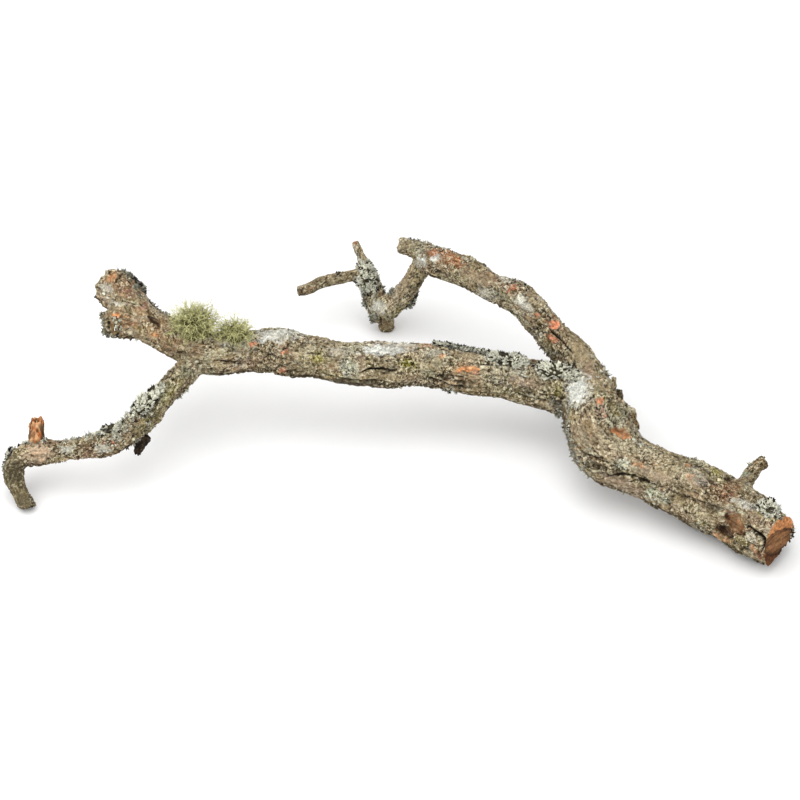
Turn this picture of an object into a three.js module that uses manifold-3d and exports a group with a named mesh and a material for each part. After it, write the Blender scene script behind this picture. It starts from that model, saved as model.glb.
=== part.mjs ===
// A fallen tree branch, grown over with lichen, lying on the ground on three points:
// its butt, the tip of its hooked twig and the knee of its crooked branch.
//
// Millimetres, +Z up, ground at z = 0. +X points towards the thick butt, and -Y to
// the side that faces a person who looks down at the branch.
//
// The wood is split at its forks. Each limb is a swept, uneven tube along a spine,
// and what grows from it is cut back to leave a hairline gap, so no solids overlap.

import * as THREE from "three";
import { mergeVertices } from "three/addons/utils/BufferGeometryUtils.js";
import Module from "manifold-3d";

const wasm = await Module();
wasm.setup();

// Driving dimensions

const GAP = 0.35; // hairline between pieces that touch
const GROUND = 0;
const UP = [0, 0, 1];
const FRONT = [0, -1, 0]; // reference side of the limbs that run steeply

const WELD = 1e-4; // vertices closer than this are one

const BARK = { color: new THREE.Color(0.36, 0.31, 0.25), roughness: 0.95 };
const BARE_WOOD = { color: new THREE.Color(0.62, 0.31, 0.14), roughness: 0.95 };
const LEAFY = { color: new THREE.Color(0.62, 0.67, 0.58), roughness: 1 };
const BEARD = { color: new THREE.Color(0.55, 0.58, 0.33), roughness: 1 };

// Spine points are [x, y, z, radius]. `up` is the side of the limb at angle 0, and
// angles turn from there towards the far side of a limb that runs to -X. `lumps` are
// [along, angle, height, length, width]: burrs, bark plates and, below zero, hollows.
// `cracks` are [width, depth, ...[along, angle]]: open splits in the bark.

const TRUNK = {
  sides: 18, step: 11, up: UP, rough: 1.1, phase: 0.4,
  spine: [
    [388, -14, 24, 25.5], [364, 4, 25, 26.4], [347, 19, 26.5, 28.0], [330, 35, 29, 30.0],
    [311, 49, 33, 31.0], [293, 62, 36, 31.8], [260, 79, 40, 28.8], [227, 97, 46, 29.2],
    [202, 121, 52, 33.5], [194, 153, 57, 33.0], [190, 181, 62, 26.0],
  ],
  lumps: [
    [62, 34, 4, 20, 14], // shoulder from which the butt's twig grows
    [72, -55, -8, 11, 9], [82, -92, -8, 9, 9], // two holes broken through the bark
    [105, 19, -2.5, 6, 5], // small knot hole
    // a furrow along the side, and the ridges on either side of it
    [188, -66, -3.2, 20, 6], [154, -57, -3.2, 20, 6], [121, -60, -2.6, 19, 6], [96, -49, -2.4, 14, 6],
    [160, -26, 2.4, 34, 12], [112, -18, 1.6, 26, 12], [142, -92, 1.8, 44, 12],
    [214, -100, 6.5, 18, 20], // elbow under the fork
    [220, -7, -3, 13, 7], // where the bark is gone
    [232, 50, 4.5, 9, 10], [246, 58, 5.5, 11, 10], [260, 66, 5.5, 10, 10], // loose plates at the fork
  ],
  cracks: [
    [3.4, 8, [24, -58], [36, -53], [48, -51], [60, -48]],
    [2.6, 5, [206, -78], [195, -67], [169, -57], [158, -58]],
    [2.4, 4, [154, -73], [132, -68], [110, -60]],
  ],
};

const MAIN_LIMB = {
  sides: 16, step: 12, up: UP, rough: 0.9, phase: 1.7,
  spine: [
    [200, 172, 61, 27.0], [172, 182, 63, 26.5], [150, 190, 65, 24.6], [111, 201, 69, 23.4],
    [70, 205, 72, 22.8], [30, 212, 76, 22.8], [-10, 209, 79, 23.1], [-50, 208, 82, 22.3],
    [-90, 214, 86, 22.0], [-111, 216, 87, 24.0], [-131, 219, 89, 23.2], [-151, 217, 91, 21.4],
    [-170, 212, 92, 20.8], [-192, 208, 95, 22.2], [-208, 211, 97, 20.5],
  ],
  lumps: [
    [118, -30, 2.2, 20, 12], [176, -92, 2.4, 30, 9], [268, -96, 2.6, 34, 9],
    [320, 10, 2.6, 22, 14], [386, -108, 3, 14, 14],
  ],
  cracks: [
    [3.0, 6, [214, -66], [227, -63], [234, -66], [246, -71]],
    [2.4, 4, [370, -77], [383, -75], [394, -77]],
    [2.2, 4, [344, -92], [353, -88], [362, -84]],
  ],
};

const UPPER_LIMB = {
  sides: 12, step: 11, up: UP, rough: 0.8, phase: 3.1,
  spine: [
    [195, 163, 58, 24.5], [193, 186, 62, 23.4], [183, 214, 67, 21.2], [173, 235, 72, 19.6],
    [152, 261, 80.5, 17.8], [132, 292, 88, 17.0], [113, 309, 91, 16.4], [92, 321, 93, 14.5],
    [68, 343, 94, 16.6], [41, 362, 92, 17.2], [25, 380, 89, 14.8],
  ],
  lumps: [
    [168, 30, 2.4, 16, 12], [222, 20, 1.8, 20, 12], [253, -18, -1.4, 16, 8],
  ],
  cracks: [[2.8, 5, [64, -21], [78, -22], [97, -22], [108, -32]]],
};

const LEFT_STUB = {
  sides: 12, step: 10, up: UP, rough: 0.9, phase: 4.4, end: "broken",
  spine: [
    [-190, 209, 94, 20.5], [-214, 217, 99, 19.6], [-231, 224, 103, 19.2],
    [-251, 235, 110, 20.0], [-267, 245, 118, 20.5], [-278, 250, 122, 19.5],
  ],
  lumps: [[62, -25, -3.5, 9, 8], [38, -60, 2, 10, 10]],
};

const STUB_HEAD = {
  sides: 12, step: 9, up: UP, rough: 1.2, phase: 5.2, end: "broken",
  spine: [[-260, 240, 116, 17.5], [-275, 255, 124, 20.5], [-287, 267, 129, 21.5], [-294, 273, 131, 19.0]],
};

const STUB_CHIN = {
  sides: 10, step: 9, up: UP, rough: 1.2, phase: 0.9, end: "broken",
  spine: [[-252, 236, 112, 17.0], [-270, 234, 113, 17.6], [-284, 234, 113, 17.0], [-294, 234, 113, 14.5]],
};

const DROOPING_BRANCH = {
  sides: 10, step: 9, up: UP, rough: 0.7, phase: 2.2, end: "worn",
  spine: [
    [-192, 206, 94, 15.5], [-205, 200, 90, 14.6], [-225, 177, 80, 13.4], [-240, 162, 72, 13.0],
    [-250, 151, 66, 13.3], [-260, 140, 60, 14.4], [-275, 128, 54, 13.2], [-291, 121, 50, 14.2],
    [-311, 120, 47, 11.6], [-330, 118, 44, 10.5], [-345, 119, 42, 12.6], [-361, 119, 40, 13.2],
    [-371, 119, 39, 12.4],
  ],
  lumps: [[84, -120, 2.6, 9, 8], [103, -22, -2.2, 6, 5]],
};

const HOOKED_TWIG = {
  sides: 9, step: 7, up: FRONT, rough: 0.5, phase: 3.7, end: "worn",
  spine: [
    [-362, 119, 42, 8.6], [-373, 118, 39, 9.4], [-380, 111, 31, 10.2], [-381, 102, 24, 10.6],
    [-377, 94, 17, 8.5], [-372, 87, 11, 8.0], [-367, 82, 6, 8.6], [-366, 80, 4, 8.6],
  ],
  lumps: [[62, 90, 2.4, 6, 5]],
};

const SPLINTERED_SPUR = {
  sides: 9, step: 6, up: FRONT, rough: 0.9, phase: 1.1, end: "splintered",
  spine: [[-359, 124, 46, 8.6], [-359, 129, 53, 8.6], [-359, 133, 60, 8.0], [-358, 136, 65, 7.2]],
};

const UPPER_STUB = {
  sides: 9, step: 8, up: UP, rough: 0.9, phase: 2.9, end: "broken",
  spine: [[34, 376, 90, 13.5], [21, 384, 91, 11.4], [11, 387, 93, 10.0], [0, 388, 96, 9.2]],
};

const CROOKED_BRANCH = {
  sides: 10, step: 8, up: FRONT, rough: 0.7, phase: 4.9,
  spine: [
    [28, 380, 88, 12.4], [16, 368, 68, 11.2], [3, 363, 50, 12.0], [-10, 363, 33, 12.8],
    [-16, 368, 18, 10.8], [-15, 368, 8, 9.4], [-15, 368, -3, 9.0],
  ],
  lumps: [[80, 150, 3.5, 10, 10]],
};

const RISING_TWIG = {
  sides: 9, step: 8, up: FRONT, rough: 0.6, phase: 0.2, end: "worn",
  spine: [
    [-18, 366, 18, 14.0], [-26, 378, 31, 13.0], [-31, 386, 45, 11.4], [-36, 394, 56, 9.2],
    [-39, 401, 64, 6.2], [-44, 408, 72, 4.9], [-48, 415, 80, 3.8],
  ],
};

const SIDE_TWIG = {
  sides: 8, step: 8, up: UP, rough: 0.4, phase: 5.8, end: "worn",
  spine: [
    [-34, 393, 56, 6.8], [-53, 388, 55, 6.2], [-69, 387, 52, 6.7], [-85, 385, 48, 6.9],
    [-97, 381, 43, 6.7], [-108, 380, 41, 5.9],
  ],
};

const BUTT_TWIG = {
  sides: 9, step: 5.5, up: FRONT, rough: 0.5, phase: 2.5, end: "broken",
  spine: [[331, 50, 42, 12.0], [334, 61, 50, 8.6], [342, 71, 59, 7.4], [353, 76, 67, 7.2]],
  lumps: [[14, 200, 2.6, 3.5, 3.5], [26, 30, 2, 4, 4]],
};

const HANGING_FLAKE = {
  sides: 8, step: 5, up: FRONT, rough: 0.6, phase: 3.3, end: "splintered",
  spine: [[-252, 132, 52, 6.4], [-256, 128, 45, 5.8], [-260, 124, 38, 4.2]],
};

// Each wooden node: the limbs fused in it, in the order in which one grows from another.
const WOOD = {
  trunk: [TRUNK],
  main_limb: [MAIN_LIMB],
  upper_limb: [UPPER_LIMB],
  left_stub: [LEFT_STUB, STUB_HEAD, STUB_CHIN],
  drooping_branch: [DROOPING_BRANCH],
  hooked_twig: [HOOKED_TWIG],
  splintered_spur: [SPLINTERED_SPUR],
  upper_stub: [UPPER_STUB],
  crooked_branch: [CROOKED_BRANCH],
  rising_twig: [RISING_TWIG],
  side_twig: [SIDE_TWIG],
  butt_twig: [BUTT_TWIG],
  hanging_flake: [HANGING_FLAKE],
};

// The butt was cut slightly askew, and the lower rim of the cut broke away in a bevel:
// each plane's outward normal and a point on it.
const BUTT_CUT = { normal: [0.76, -0.62, 0.16], point: [364, 4, 25] };
const BUTT_BEVEL = { normal: [0.59, -0.38, -0.71], point: [355, 8, 2.5] };

// Leafy lichen grows as low cushions on the bark: where on the limb, then the size.
const CUSHIONS = {
  leafy_lichen_main_fork: { limb: MAIN_LIMB, at: 50, angle: -3, long: 50, wide: 23, high: 5 },
  leafy_lichen_main_limb: { limb: MAIN_LIMB, at: 98, angle: 2, long: 44, wide: 21, high: 4.5 },
  leafy_lichen_limb_crest: { limb: MAIN_LIMB, at: 150, angle: 34, long: 56, wide: 13, high: 3.5 },
  leafy_lichen_butt: { limb: TRUNK, at: 52, angle: 8, long: 30, wide: 22, high: 3.5 },
  leafy_lichen_droop_top: { limb: DROOPING_BRANCH, at: 82, angle: 2, long: 46, wide: 21, high: 5 },
  leafy_lichen_droop_mid: { limb: DROOPING_BRANCH, at: 128, angle: 12, long: 30, wide: 15, high: 4 },
  leafy_lichen_hook: { limb: HOOKED_TWIG, at: 22, angle: 150, long: 24, wide: 20, high: 3.5 },
  leafy_lichen_stub_head: { limb: STUB_HEAD, at: 28, angle: 62, long: 26, wide: 24, high: 2.8 },
  leafy_lichen_stub_chin: { limb: STUB_CHIN, at: 33, angle: -60, long: 14, wide: 24, high: 5 },
  leafy_lichen_knee: { limb: CROOKED_BRANCH, at: 52, angle: -95, long: 24, wide: 14, high: 4 },
  leafy_lichen_rising_twig: { limb: RISING_TWIG, at: 46, angle: 0, long: 40, wide: 30, high: 4.5 },
};

// Beard lichen stands on the main limb as two bushy tufts: centre, half sizes.
const TUFTS = {
  beard_lichen_large: { centre: [-204, 215, 117], half: [25, 20, 32], phase: 1.3 },
  beard_lichen_small: { centre: [-168, 216, 111], half: [23, 16, 17], phase: 4.1 },
};

// Noise

const fraction = (x) => x - Math.floor(x);
const hash = (a, b, c) => fraction(Math.sin(a * 12.9898 + b * 78.233 + c * 37.719) * 43758.5453);
const degrees = THREE.MathUtils.degToRad;

// Swells that wind along a limb: waves around it, radians per mm along it, height as a
// share of the limb's roughness, and where the wave starts, in multiples of its phase.
const SWELLS = [
  { around: 2, along: 0.05, height: 0.5, start: 1 },
  { around: 3, along: -0.09, height: 0.4, start: 2 },
  { around: 1, along: 0.14, height: 0.35, start: 3 },
];
const FINE_HEIGHT = 1.1; // of the unevenness that differs at each vertex, as a share of roughness

function unevenness(limb, along, turn, row, column) {
  const { phase, rough } = limb;
  const wave = ({ around, along: pace, start }) => Math.sin(around * turn + pace * along + start * phase);
  const slow = SWELLS.reduce((sum, swell) => sum + swell.height * wave(swell), 0);
  const fine = hash(row, column, phase) - 0.5;
  return rough * (slow + FINE_HEIGHT * fine);
}

function lumpHeight(limb, along, turn, radius) {
  let height = 0;
  for (const [at, angle, top, long, wide] of limb.lumps ?? []) {
    const sideways = Math.atan2(Math.sin(turn - degrees(angle)), Math.cos(turn - degrees(angle))) * radius;
    height += top * Math.exp(-(((along - at) / long) ** 2) - (sideways / wide) ** 2);
  }
  return height;
}

// Limbs

// Where a limb is at a distance along it: the point, the radius and the cross axes.
function section(limb, along) {
  limb.curve ??= new THREE.CatmullRomCurve3(limb.spine.map(([x, y, z]) => new THREE.Vector3(x, y, z)));
  limb.length ??= limb.curve.getLength();
  const u = THREE.MathUtils.clamp(along / limb.length, 0, 1);
  const t = limb.curve.getUtoTmapping(u);
  const place = t * (limb.spine.length - 1);
  const from = Math.min(Math.floor(place), limb.spine.length - 2);
  const radius = THREE.MathUtils.lerp(limb.spine[from][3], limb.spine[from + 1][3], place - from);
  const forward = limb.curve.getTangent(t);
  const towards = new THREE.Vector3(...limb.up);
  const up = towards.clone().addScaledVector(forward, -forward.dot(towards)).normalize();
  const side = new THREE.Vector3().crossVectors(forward, up);
  return { centre: limb.curve.getPoint(t), radius, forward, up, side };
}

function pointAt({ centre, up, side }, turn, distance) {
  return centre
    .clone()
    .addScaledVector(up, Math.cos(turn) * distance)
    .addScaledVector(side, Math.sin(turn) * distance);
}

// Rings that close a limb's end: [share of the radius, push along in radii, jaggedness in radii].
const END_RINGS = {
  flat: [],
  worn: [[0.82, 0.3, 0.08], [0.45, 0.45, 0.1]],
  broken: [[0.96, 0.12, 0.28], [0.6, 0.18, 0.42], [0.28, 0.08, 0.4]],
  splintered: [[0.9, 0.45, 0.7], [0.62, 0.7, 1.1], [0.3, 0.5, 1.0]],
};

// A closed mesh from rings of points, with a middle point at either end.
function closeRings(rings, first, last) {
  const sides = rings[0].length;
  const points = [...rings.flat(), first, last];
  const [firstIndex, lastIndex] = [points.length - 2, points.length - 1];
  const index = [];
  for (let column = 0; column < sides; column++) {
    const next = (column + 1) % sides;
    for (let row = 0; row < rings.length - 1; row++) {
      const [a, b] = [row * sides + column, row * sides + next];
      index.push(a, b, b + sides, a, b + sides, a + sides);
    }
    const top = (rings.length - 1) * sides;
    index.push(firstIndex, next, column);
    index.push(lastIndex, top + column, top + next);
  }
  const geometry = new THREE.BufferGeometry().setFromPoints(points);
  geometry.setIndex(index);
  return geometry;
}

function limbGeometry(limb, extra) {
  section(limb, 0);
  const rows = Math.round(limb.length / limb.step);
  const rings = [];
  const turns = Array.from({ length: limb.sides }, (_, column) => (column / limb.sides) * 2 * Math.PI);
  for (let row = 0; row <= rows; row++) {
    const along = (row / rows) * limb.length;
    const cut = section(limb, along);
    const push = row === 0 ? -extra : row === rows ? extra : 0;
    rings.push(
      turns.map((turn, column) => {
        const bark = unevenness(limb, along, turn, row, column) + lumpHeight(limb, along, turn, cut.radius);
        return pointAt(cut, turn, cut.radius + bark + extra).addScaledVector(cut.forward, push);
      }),
    );
  }
  const tip = section(limb, limb.length);
  for (const [number, [share, push, jag]] of END_RINGS[limb.end ?? "flat"].entries()) {
    rings.push(
      turns.map((turn, column) => {
        // a grown limb's end is as long all round as the furthest jag
        const jagged = extra > 0 ? jag / 2 : jag * (hash(number, column, limb.phase) - 0.5);
        const forward = (push + jagged) * tip.radius;
        return pointAt(tip, turn, share * tip.radius + extra).addScaledVector(tip.forward, forward + extra);
      }),
    );
  }
  const root = section(limb, 0);
  const first = root.centre.clone().addScaledVector(root.forward, -extra);
  const last = rings[rings.length - 1]
    .reduce((sum, point) => sum.add(point), new THREE.Vector3())
    .divideScalar(limb.sides);
  return closeRings(rings, first, last);
}

// A crack closes towards its two ends, where it is narrower and shallower by these shares.
const CRACK_END = { width: 0.25, depth: 0.3 };
const CRACK_CLEAR = 6; // how far the cutting wedge stands out of the bark

// A narrow wedge that follows the bark, to be cut out of it.
function crackGeometry(limb, [width, depth, ...route]) {
  const rings = route.map(([at, angle], number) => {
    const cut = section(limb, at);
    const turn = degrees(angle);
    const surface = cut.radius + lumpHeight(limb, at, turn, cut.radius);
    const atEnd = number === 0 || number === route.length - 1;
    const half = ((atEnd ? CRACK_END.width : 1) * width) / 2;
    const bottom = surface - (atEnd ? CRACK_END.depth : 1) * depth;
    const spread = Math.asin(half / surface);
    const above = surface + CRACK_CLEAR;
    return [
      pointAt(cut, turn - spread, above),
      pointAt(cut, turn, bottom),
      pointAt(cut, turn + spread, above),
    ];
  });
  const middle = (ring) => ring.reduce((sum, point) => sum.add(point), new THREE.Vector3()).divideScalar(3);
  return closeRings(rings.map((ring) => ring.reverse()), middle(rings[0]), middle(rings[rings.length - 1]));
}

// Lichen

const CUSHION_FACETS = [10, 6]; // around and up
const CUSHION_LUMP = 0.16; // height of its lumps, as a share of its own size
const TUFT_FACETS = [12, 8];
const TUFT_LUMPS = [0.07, 0.05]; // of the wide lumps and of those up its sides

// A low lumpy cushion wrapped round a limb's bark.
function cushionGeometry({ limb, at, angle, long, wide, high }, extra) {
  const unit = new THREE.SphereGeometry(1, ...CUSHION_FACETS);
  const position = unit.getAttribute("position");
  for (let i = 0; i < position.count; i++) {
    const [x, y, z] = [position.getX(i), position.getZ(i), position.getY(i)];
    const lump = 1 + CUSHION_LUMP * (Math.sin(5 * x + at) + Math.sin(6 * y + 2 * x + high));
    const along = at + x * lump * (long / 2 + extra);
    const cut = section(limb, along);
    const turn = degrees(angle) + (y * lump * (wide / 2 + extra)) / cut.radius;
    const surface = cut.radius + lumpHeight(limb, along, turn, cut.radius);
    const lift = z * lump * (high + extra);
    const point = pointAt(cut, turn, surface + lift);
    position.setXYZ(i, point.x, point.y, point.z);
  }
  return unit;
}

// A bushy tuft, higher in the middle, with an uneven top.
function tuftGeometry({ centre, half, phase }, extra) {
  const unit = new THREE.SphereGeometry(1, ...TUFT_FACETS);
  const position = unit.getAttribute("position");
  for (let i = 0; i < position.count; i++) {
    const [x, y, z] = [position.getX(i), position.getZ(i), position.getY(i)];
    const wideLump = TUFT_LUMPS[0] * Math.sin(7 * x + phase) * Math.cos(6 * y - phase);
    const sideLump = TUFT_LUMPS[1] * Math.sin(9 * z + 5 * x);
    const bushy = 1 + wideLump + sideLump;
    position.setXYZ(
      i,
      centre[0] + x * bushy * (half[0] + extra),
      centre[1] + y * bushy * (half[1] + extra),
      centre[2] + z * bushy * (half[2] + extra),
    );
  }
  return unit;
}

// Joining and cutting

function toSolid(geometry) {
  const bare = geometry.clone();
  bare.deleteAttribute("normal");
  bare.deleteAttribute("uv");
  const merged = mergeVertices(bare, WELD);
  const triVerts = Uint32Array.from(merged.getIndex().array);
  const vertProperties = Float32Array.from(merged.getAttribute("position").array);
  const solid = new wasm.Manifold(new wasm.Mesh({ numProp: 3, vertProperties, triVerts }));
  return solid.volume() > 0 ? solid : turnOut(vertProperties, triVerts);
}

// The same solid with its faces turned to point out.
function turnOut(vertProperties, triVerts) {
  const turned = triVerts.slice();
  for (let i = 0; i < turned.length; i += 3) {
    [turned[i], turned[i + 1]] = [turned[i + 1], turned[i]];
  }
  return new wasm.Manifold(new wasm.Mesh({ numProp: 3, vertProperties, triVerts: turned }));
}

function largestPiece(solid) {
  const pieces = solid.decompose();
  return pieces.reduce((best, piece) => (piece.volume() > best.volume() ? piece : best));
}

function fuse(geometries) {
  return geometries.map(toSolid).reduce((whole, solid) => whole.add(solid));
}

function woodSolid(limbs, extra) {
  return fuse(limbs.map((limb) => limbGeometry(limb, extra)));
}

// Takes away what lies beyond a plane.
function trim(solid, { normal, point }) {
  const length = Math.hypot(...normal);
  const inward = normal.map((n) => -n / length);
  const offset = inward.reduce((sum, n, axis) => sum + n * point[axis], 0);
  return solid.trimByPlane(inward, offset);
}

function toMesh(name, solid, finish) {
  const { vertProperties, triVerts } = solid.getMesh();
  const geometry = new THREE.BufferGeometry();
  geometry.setAttribute("position", new THREE.BufferAttribute(vertProperties, 3));
  geometry.setIndex(new THREE.BufferAttribute(triVerts, 1));
  geometry.computeVertexNormals();
  const material = new THREE.MeshStandardMaterial({ ...finish, metalness: 0 });
  const mesh = new THREE.Mesh(geometry, material);
  mesh.name = name;
  return mesh;
}

const branch = new THREE.Group();
const taken = []; // what is built so far, grown by the gap

function place(name, exact, grown, finish) {
  const clear = taken.reduce((rest, other) => rest.subtract(other), exact);
  const solid = largestPiece(clear).trimByPlane(UP, GROUND);
  branch.add(toMesh(name, solid, finish));
  taken.push(grown);
}

for (const [name, limbs] of Object.entries(WOOD)) {
  let solid = woodSolid(limbs, 0);
  for (const limb of limbs) {
    for (const crack of limb.cracks ?? []) {
      solid = solid.subtract(toSolid(crackGeometry(limb, crack)));
    }
  }
  if (name === "trunk") {
    solid = trim(trim(solid, BUTT_CUT), BUTT_BEVEL);
  }
  place(name, solid, woodSolid(limbs, GAP), name === "splintered_spur" ? BARE_WOOD : BARK);
}

for (const [name, tuft] of Object.entries(TUFTS)) {
  place(name, toSolid(tuftGeometry(tuft, 0)), toSolid(tuftGeometry(tuft, GAP)), BEARD);
}

for (const [name, cushion] of Object.entries(CUSHIONS)) {
  place(name, toSolid(cushionGeometry(cushion, 0)), toSolid(cushionGeometry(cushion, GAP)), LEAFY);
}

// The origin is on the ground under the middle of the branch's box.
const box = new THREE.Box3().setFromObject(branch);
const middle = box.getCenter(new THREE.Vector3());
branch.position.set(-middle.x, -middle.y, -box.min.z);
branch.updateMatrixWorld(true);

export default branch;
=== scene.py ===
"""A dead forked branch, grown over with lichen, lying on a pale studio floor."""

import itertools
import math

import bmesh
import bpy
import numpy as np
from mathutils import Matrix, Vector
from mathutils.bvhtree import BVHTree


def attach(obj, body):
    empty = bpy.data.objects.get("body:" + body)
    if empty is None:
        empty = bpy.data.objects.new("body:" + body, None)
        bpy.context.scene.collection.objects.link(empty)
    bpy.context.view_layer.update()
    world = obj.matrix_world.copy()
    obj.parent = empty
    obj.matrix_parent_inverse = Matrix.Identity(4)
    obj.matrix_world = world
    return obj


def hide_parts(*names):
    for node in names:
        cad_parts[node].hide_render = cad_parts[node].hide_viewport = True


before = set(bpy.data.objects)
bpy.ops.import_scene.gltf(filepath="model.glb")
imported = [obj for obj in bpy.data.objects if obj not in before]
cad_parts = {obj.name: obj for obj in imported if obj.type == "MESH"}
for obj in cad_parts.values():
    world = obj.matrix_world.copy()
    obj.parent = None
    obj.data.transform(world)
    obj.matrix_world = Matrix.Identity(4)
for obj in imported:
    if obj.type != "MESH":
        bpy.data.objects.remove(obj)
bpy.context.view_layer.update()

# Lengths are in millimetres until a mesh is made. The spines are drawn from their own
# origin, which lies at DRAWN_FROM in the frame that the solids are in.
MM = 0.001
DRAWN_FROM = np.array([5.7, -200.9, 0.0])
BODY = "root"

# The view of the photograph, which is 800 pixels square. One pixel is one millimetre at
# this distance.
ELEVATION = math.radians(40)
DISTANCE = 2600.0
FRAME = 800.0
LOOK_AT = np.array([0.0, 177.0, 60.0]) + DRAWN_FROM
TO_CAMERA = np.array([0.0, -math.cos(ELEVATION), math.sin(ELEVATION)])
IMAGE_RIGHT = np.array([1.0, 0.0, 0.0])
IMAGE_UP = np.array([0.0, math.sin(ELEVATION), math.cos(ELEVATION)])
CAMERA_AT = LOOK_AT + TO_CAMERA * DISTANCE

UP = np.array([0.0, 0.0, 1.0])
FRONT = np.array([0.0, -1.0, 0.0])

# Each limb's spine as x, y, z and radius.
LIMBS = {
    "trunk": [
        (388, -14, 24, 25.5), (364, 4, 25, 26.4), (347, 19, 26.5, 28.0), (330, 35, 29, 30.0),
        (311, 49, 33, 31.0), (293, 62, 36, 31.8), (260, 79, 40, 28.8), (227, 97, 46, 29.2),
        (202, 121, 52, 33.5), (194, 153, 57, 33.0), (190, 181, 62, 26.0),
    ],
    "main_limb": [
        (200, 172, 61, 27.0), (172, 182, 63, 26.5), (150, 190, 65, 24.6), (111, 201, 69, 23.4),
        (70, 205, 72, 22.8), (30, 212, 76, 22.8), (-10, 209, 79, 23.1), (-50, 208, 82, 22.3),
        (-90, 214, 86, 22.0), (-111, 216, 87, 24.0), (-131, 219, 89, 23.2), (-151, 217, 91, 21.4),
        (-170, 212, 92, 20.8), (-192, 208, 95, 22.2), (-208, 211, 97, 20.5),
    ],
    "upper_limb": [
        (195, 163, 58, 24.5), (193, 186, 62, 23.4), (183, 214, 67, 21.2), (173, 235, 72, 19.6),
        (152, 261, 80.5, 17.8), (132, 292, 88, 17.0), (113, 309, 91, 16.4), (92, 321, 93, 14.5),
        (68, 343, 94, 16.6), (41, 362, 92, 17.2), (25, 380, 89, 14.8),
    ],
    "left_stub": [
        (-190, 209, 94, 20.5), (-214, 217, 99, 19.6), (-231, 224, 103, 19.2),
        (-251, 235, 110, 20.0), (-267, 245, 118, 20.5), (-278, 250, 122, 19.5),
    ],
    "stub_head": [
        (-260, 240, 116, 17.5), (-275, 255, 124, 20.5), (-287, 267, 129, 21.5), (-294, 273, 131, 19.0),
    ],
    "stub_chin": [
        (-252, 236, 112, 17.0), (-270, 234, 113, 17.6), (-284, 234, 113, 17.0), (-294, 234, 113, 14.5),
    ],
    "drooping_branch": [
        (-192, 206, 94, 15.5), (-205, 200, 90, 14.6), (-225, 177, 80, 13.4), (-240, 162, 72, 13.0),
        (-250, 151, 66, 13.3), (-260, 140, 60, 14.4), (-275, 128, 54, 13.2), (-291, 121, 50, 14.2),
        (-311, 120, 47, 11.6), (-330, 118, 44, 10.5), (-345, 119, 42, 12.6), (-361, 119, 40, 13.2),
        (-371, 119, 39, 12.4),
    ],
    "hooked_twig": [
        (-362, 119, 42, 8.6), (-373, 118, 39, 9.4), (-380, 111, 31, 10.2), (-381, 102, 24, 10.6),
        (-377, 94, 17, 8.5), (-372, 87, 11, 8.0), (-367, 82, 6, 8.6), (-366, 80, 4, 8.6),
    ],
    "upper_stub": [(34, 376, 90, 13.5), (21, 384, 91, 11.4), (11, 387, 93, 10.0), (0, 388, 96, 9.2)],
    "crooked_branch": [
        (28, 380, 88, 12.4), (16, 368, 68, 11.2), (3, 363, 50, 12.0), (-10, 363, 33, 12.8),
        (-16, 368, 18, 10.8), (-15, 368, 8, 9.4), (-15, 368, 1, 9.0),
    ],
    "rising_twig": [
        (-18, 366, 18, 14.0), (-26, 378, 31, 13.0), (-31, 386, 45, 11.4), (-36, 394, 56, 9.2),
        (-39, 401, 64, 6.2), (-44, 408, 72, 4.9), (-48, 415, 80, 3.8),
    ],
    "side_twig": [
        (-34, 393, 56, 6.8), (-53, 388, 55, 6.2), (-69, 387, 52, 6.7), (-85, 385, 48, 6.9),
        (-97, 381, 43, 6.7), (-108, 380, 41, 5.9),
    ],
    "butt_twig": [(331, 50, 42, 12.0), (334, 61, 50, 8.6), (342, 71, 59, 7.4), (353, 76, 67, 7.2)],
}

# Each limb's reference side, how much it swells and where its swellings start.
SWELLINGS = {
    "trunk": (UP, 1.1, 0.4), "main_limb": (UP, 0.9, 1.7), "upper_limb": (UP, 0.8, 3.1),
    "left_stub": (UP, 0.9, 4.4), "stub_head": (UP, 1.2, 5.2), "stub_chin": (UP, 1.2, 0.9),
    "drooping_branch": (UP, 0.7, 2.2), "hooked_twig": (FRONT, 0.5, 3.7),
    "upper_stub": (UP, 0.9, 2.9), "crooked_branch": (FRONT, 0.7, 4.9),
    "rising_twig": (FRONT, 0.6, 0.2), "side_twig": (UP, 0.4, 5.8), "butt_twig": (FRONT, 0.5, 2.5),
}

# Burrs, bark plates and, below zero, hollows: along the limb, angle from its reference side
# in degrees, height, length and width.
LUMPS = {
    "trunk": [
        (62, 34, 4, 20, 14), (72, -55, -8, 11, 9), (82, -92, -8, 9, 9), (105, 19, -2.5, 6, 5),
        (188, -66, -3.2, 20, 6), (154, -57, -3.2, 20, 6), (121, -60, -2.6, 19, 6),
        (96, -49, -2.4, 14, 6), (160, -26, 2.4, 34, 12), (112, -18, 1.6, 26, 12),
        (142, -92, 1.8, 44, 12), (214, -100, 6.5, 18, 20), (220, -7, -3, 13, 7),
        (232, 50, 4.5, 9, 10), (246, 58, 5.5, 11, 10), (260, 66, 5.5, 10, 10),
    ],
    "main_limb": [
        (118, -30, 2.2, 20, 12), (176, -92, 2.4, 30, 9), (268, -96, 2.6, 34, 9),
        (320, 10, 2.6, 22, 14), (386, -108, 3, 14, 14),
    ],
    "upper_limb": [(168, 30, 2.4, 16, 12), (222, 20, 1.8, 20, 12), (253, -18, -1.4, 16, 8)],
    "left_stub": [(62, -25, -3.5, 9, 8), (38, -60, 2, 10, 10)],
    "drooping_branch": [(84, -120, 2.6, 9, 8), (103, -22, -2.2, 6, 5)],
    "hooked_twig": [(62, 90, 2.4, 6, 5)],
    "crooked_branch": [(80, 150, 3.5, 10, 10)],
    "butt_twig": [(14, 200, 2.6, 3.5, 3.5), (26, 30, 2, 4, 4)],
}
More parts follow.
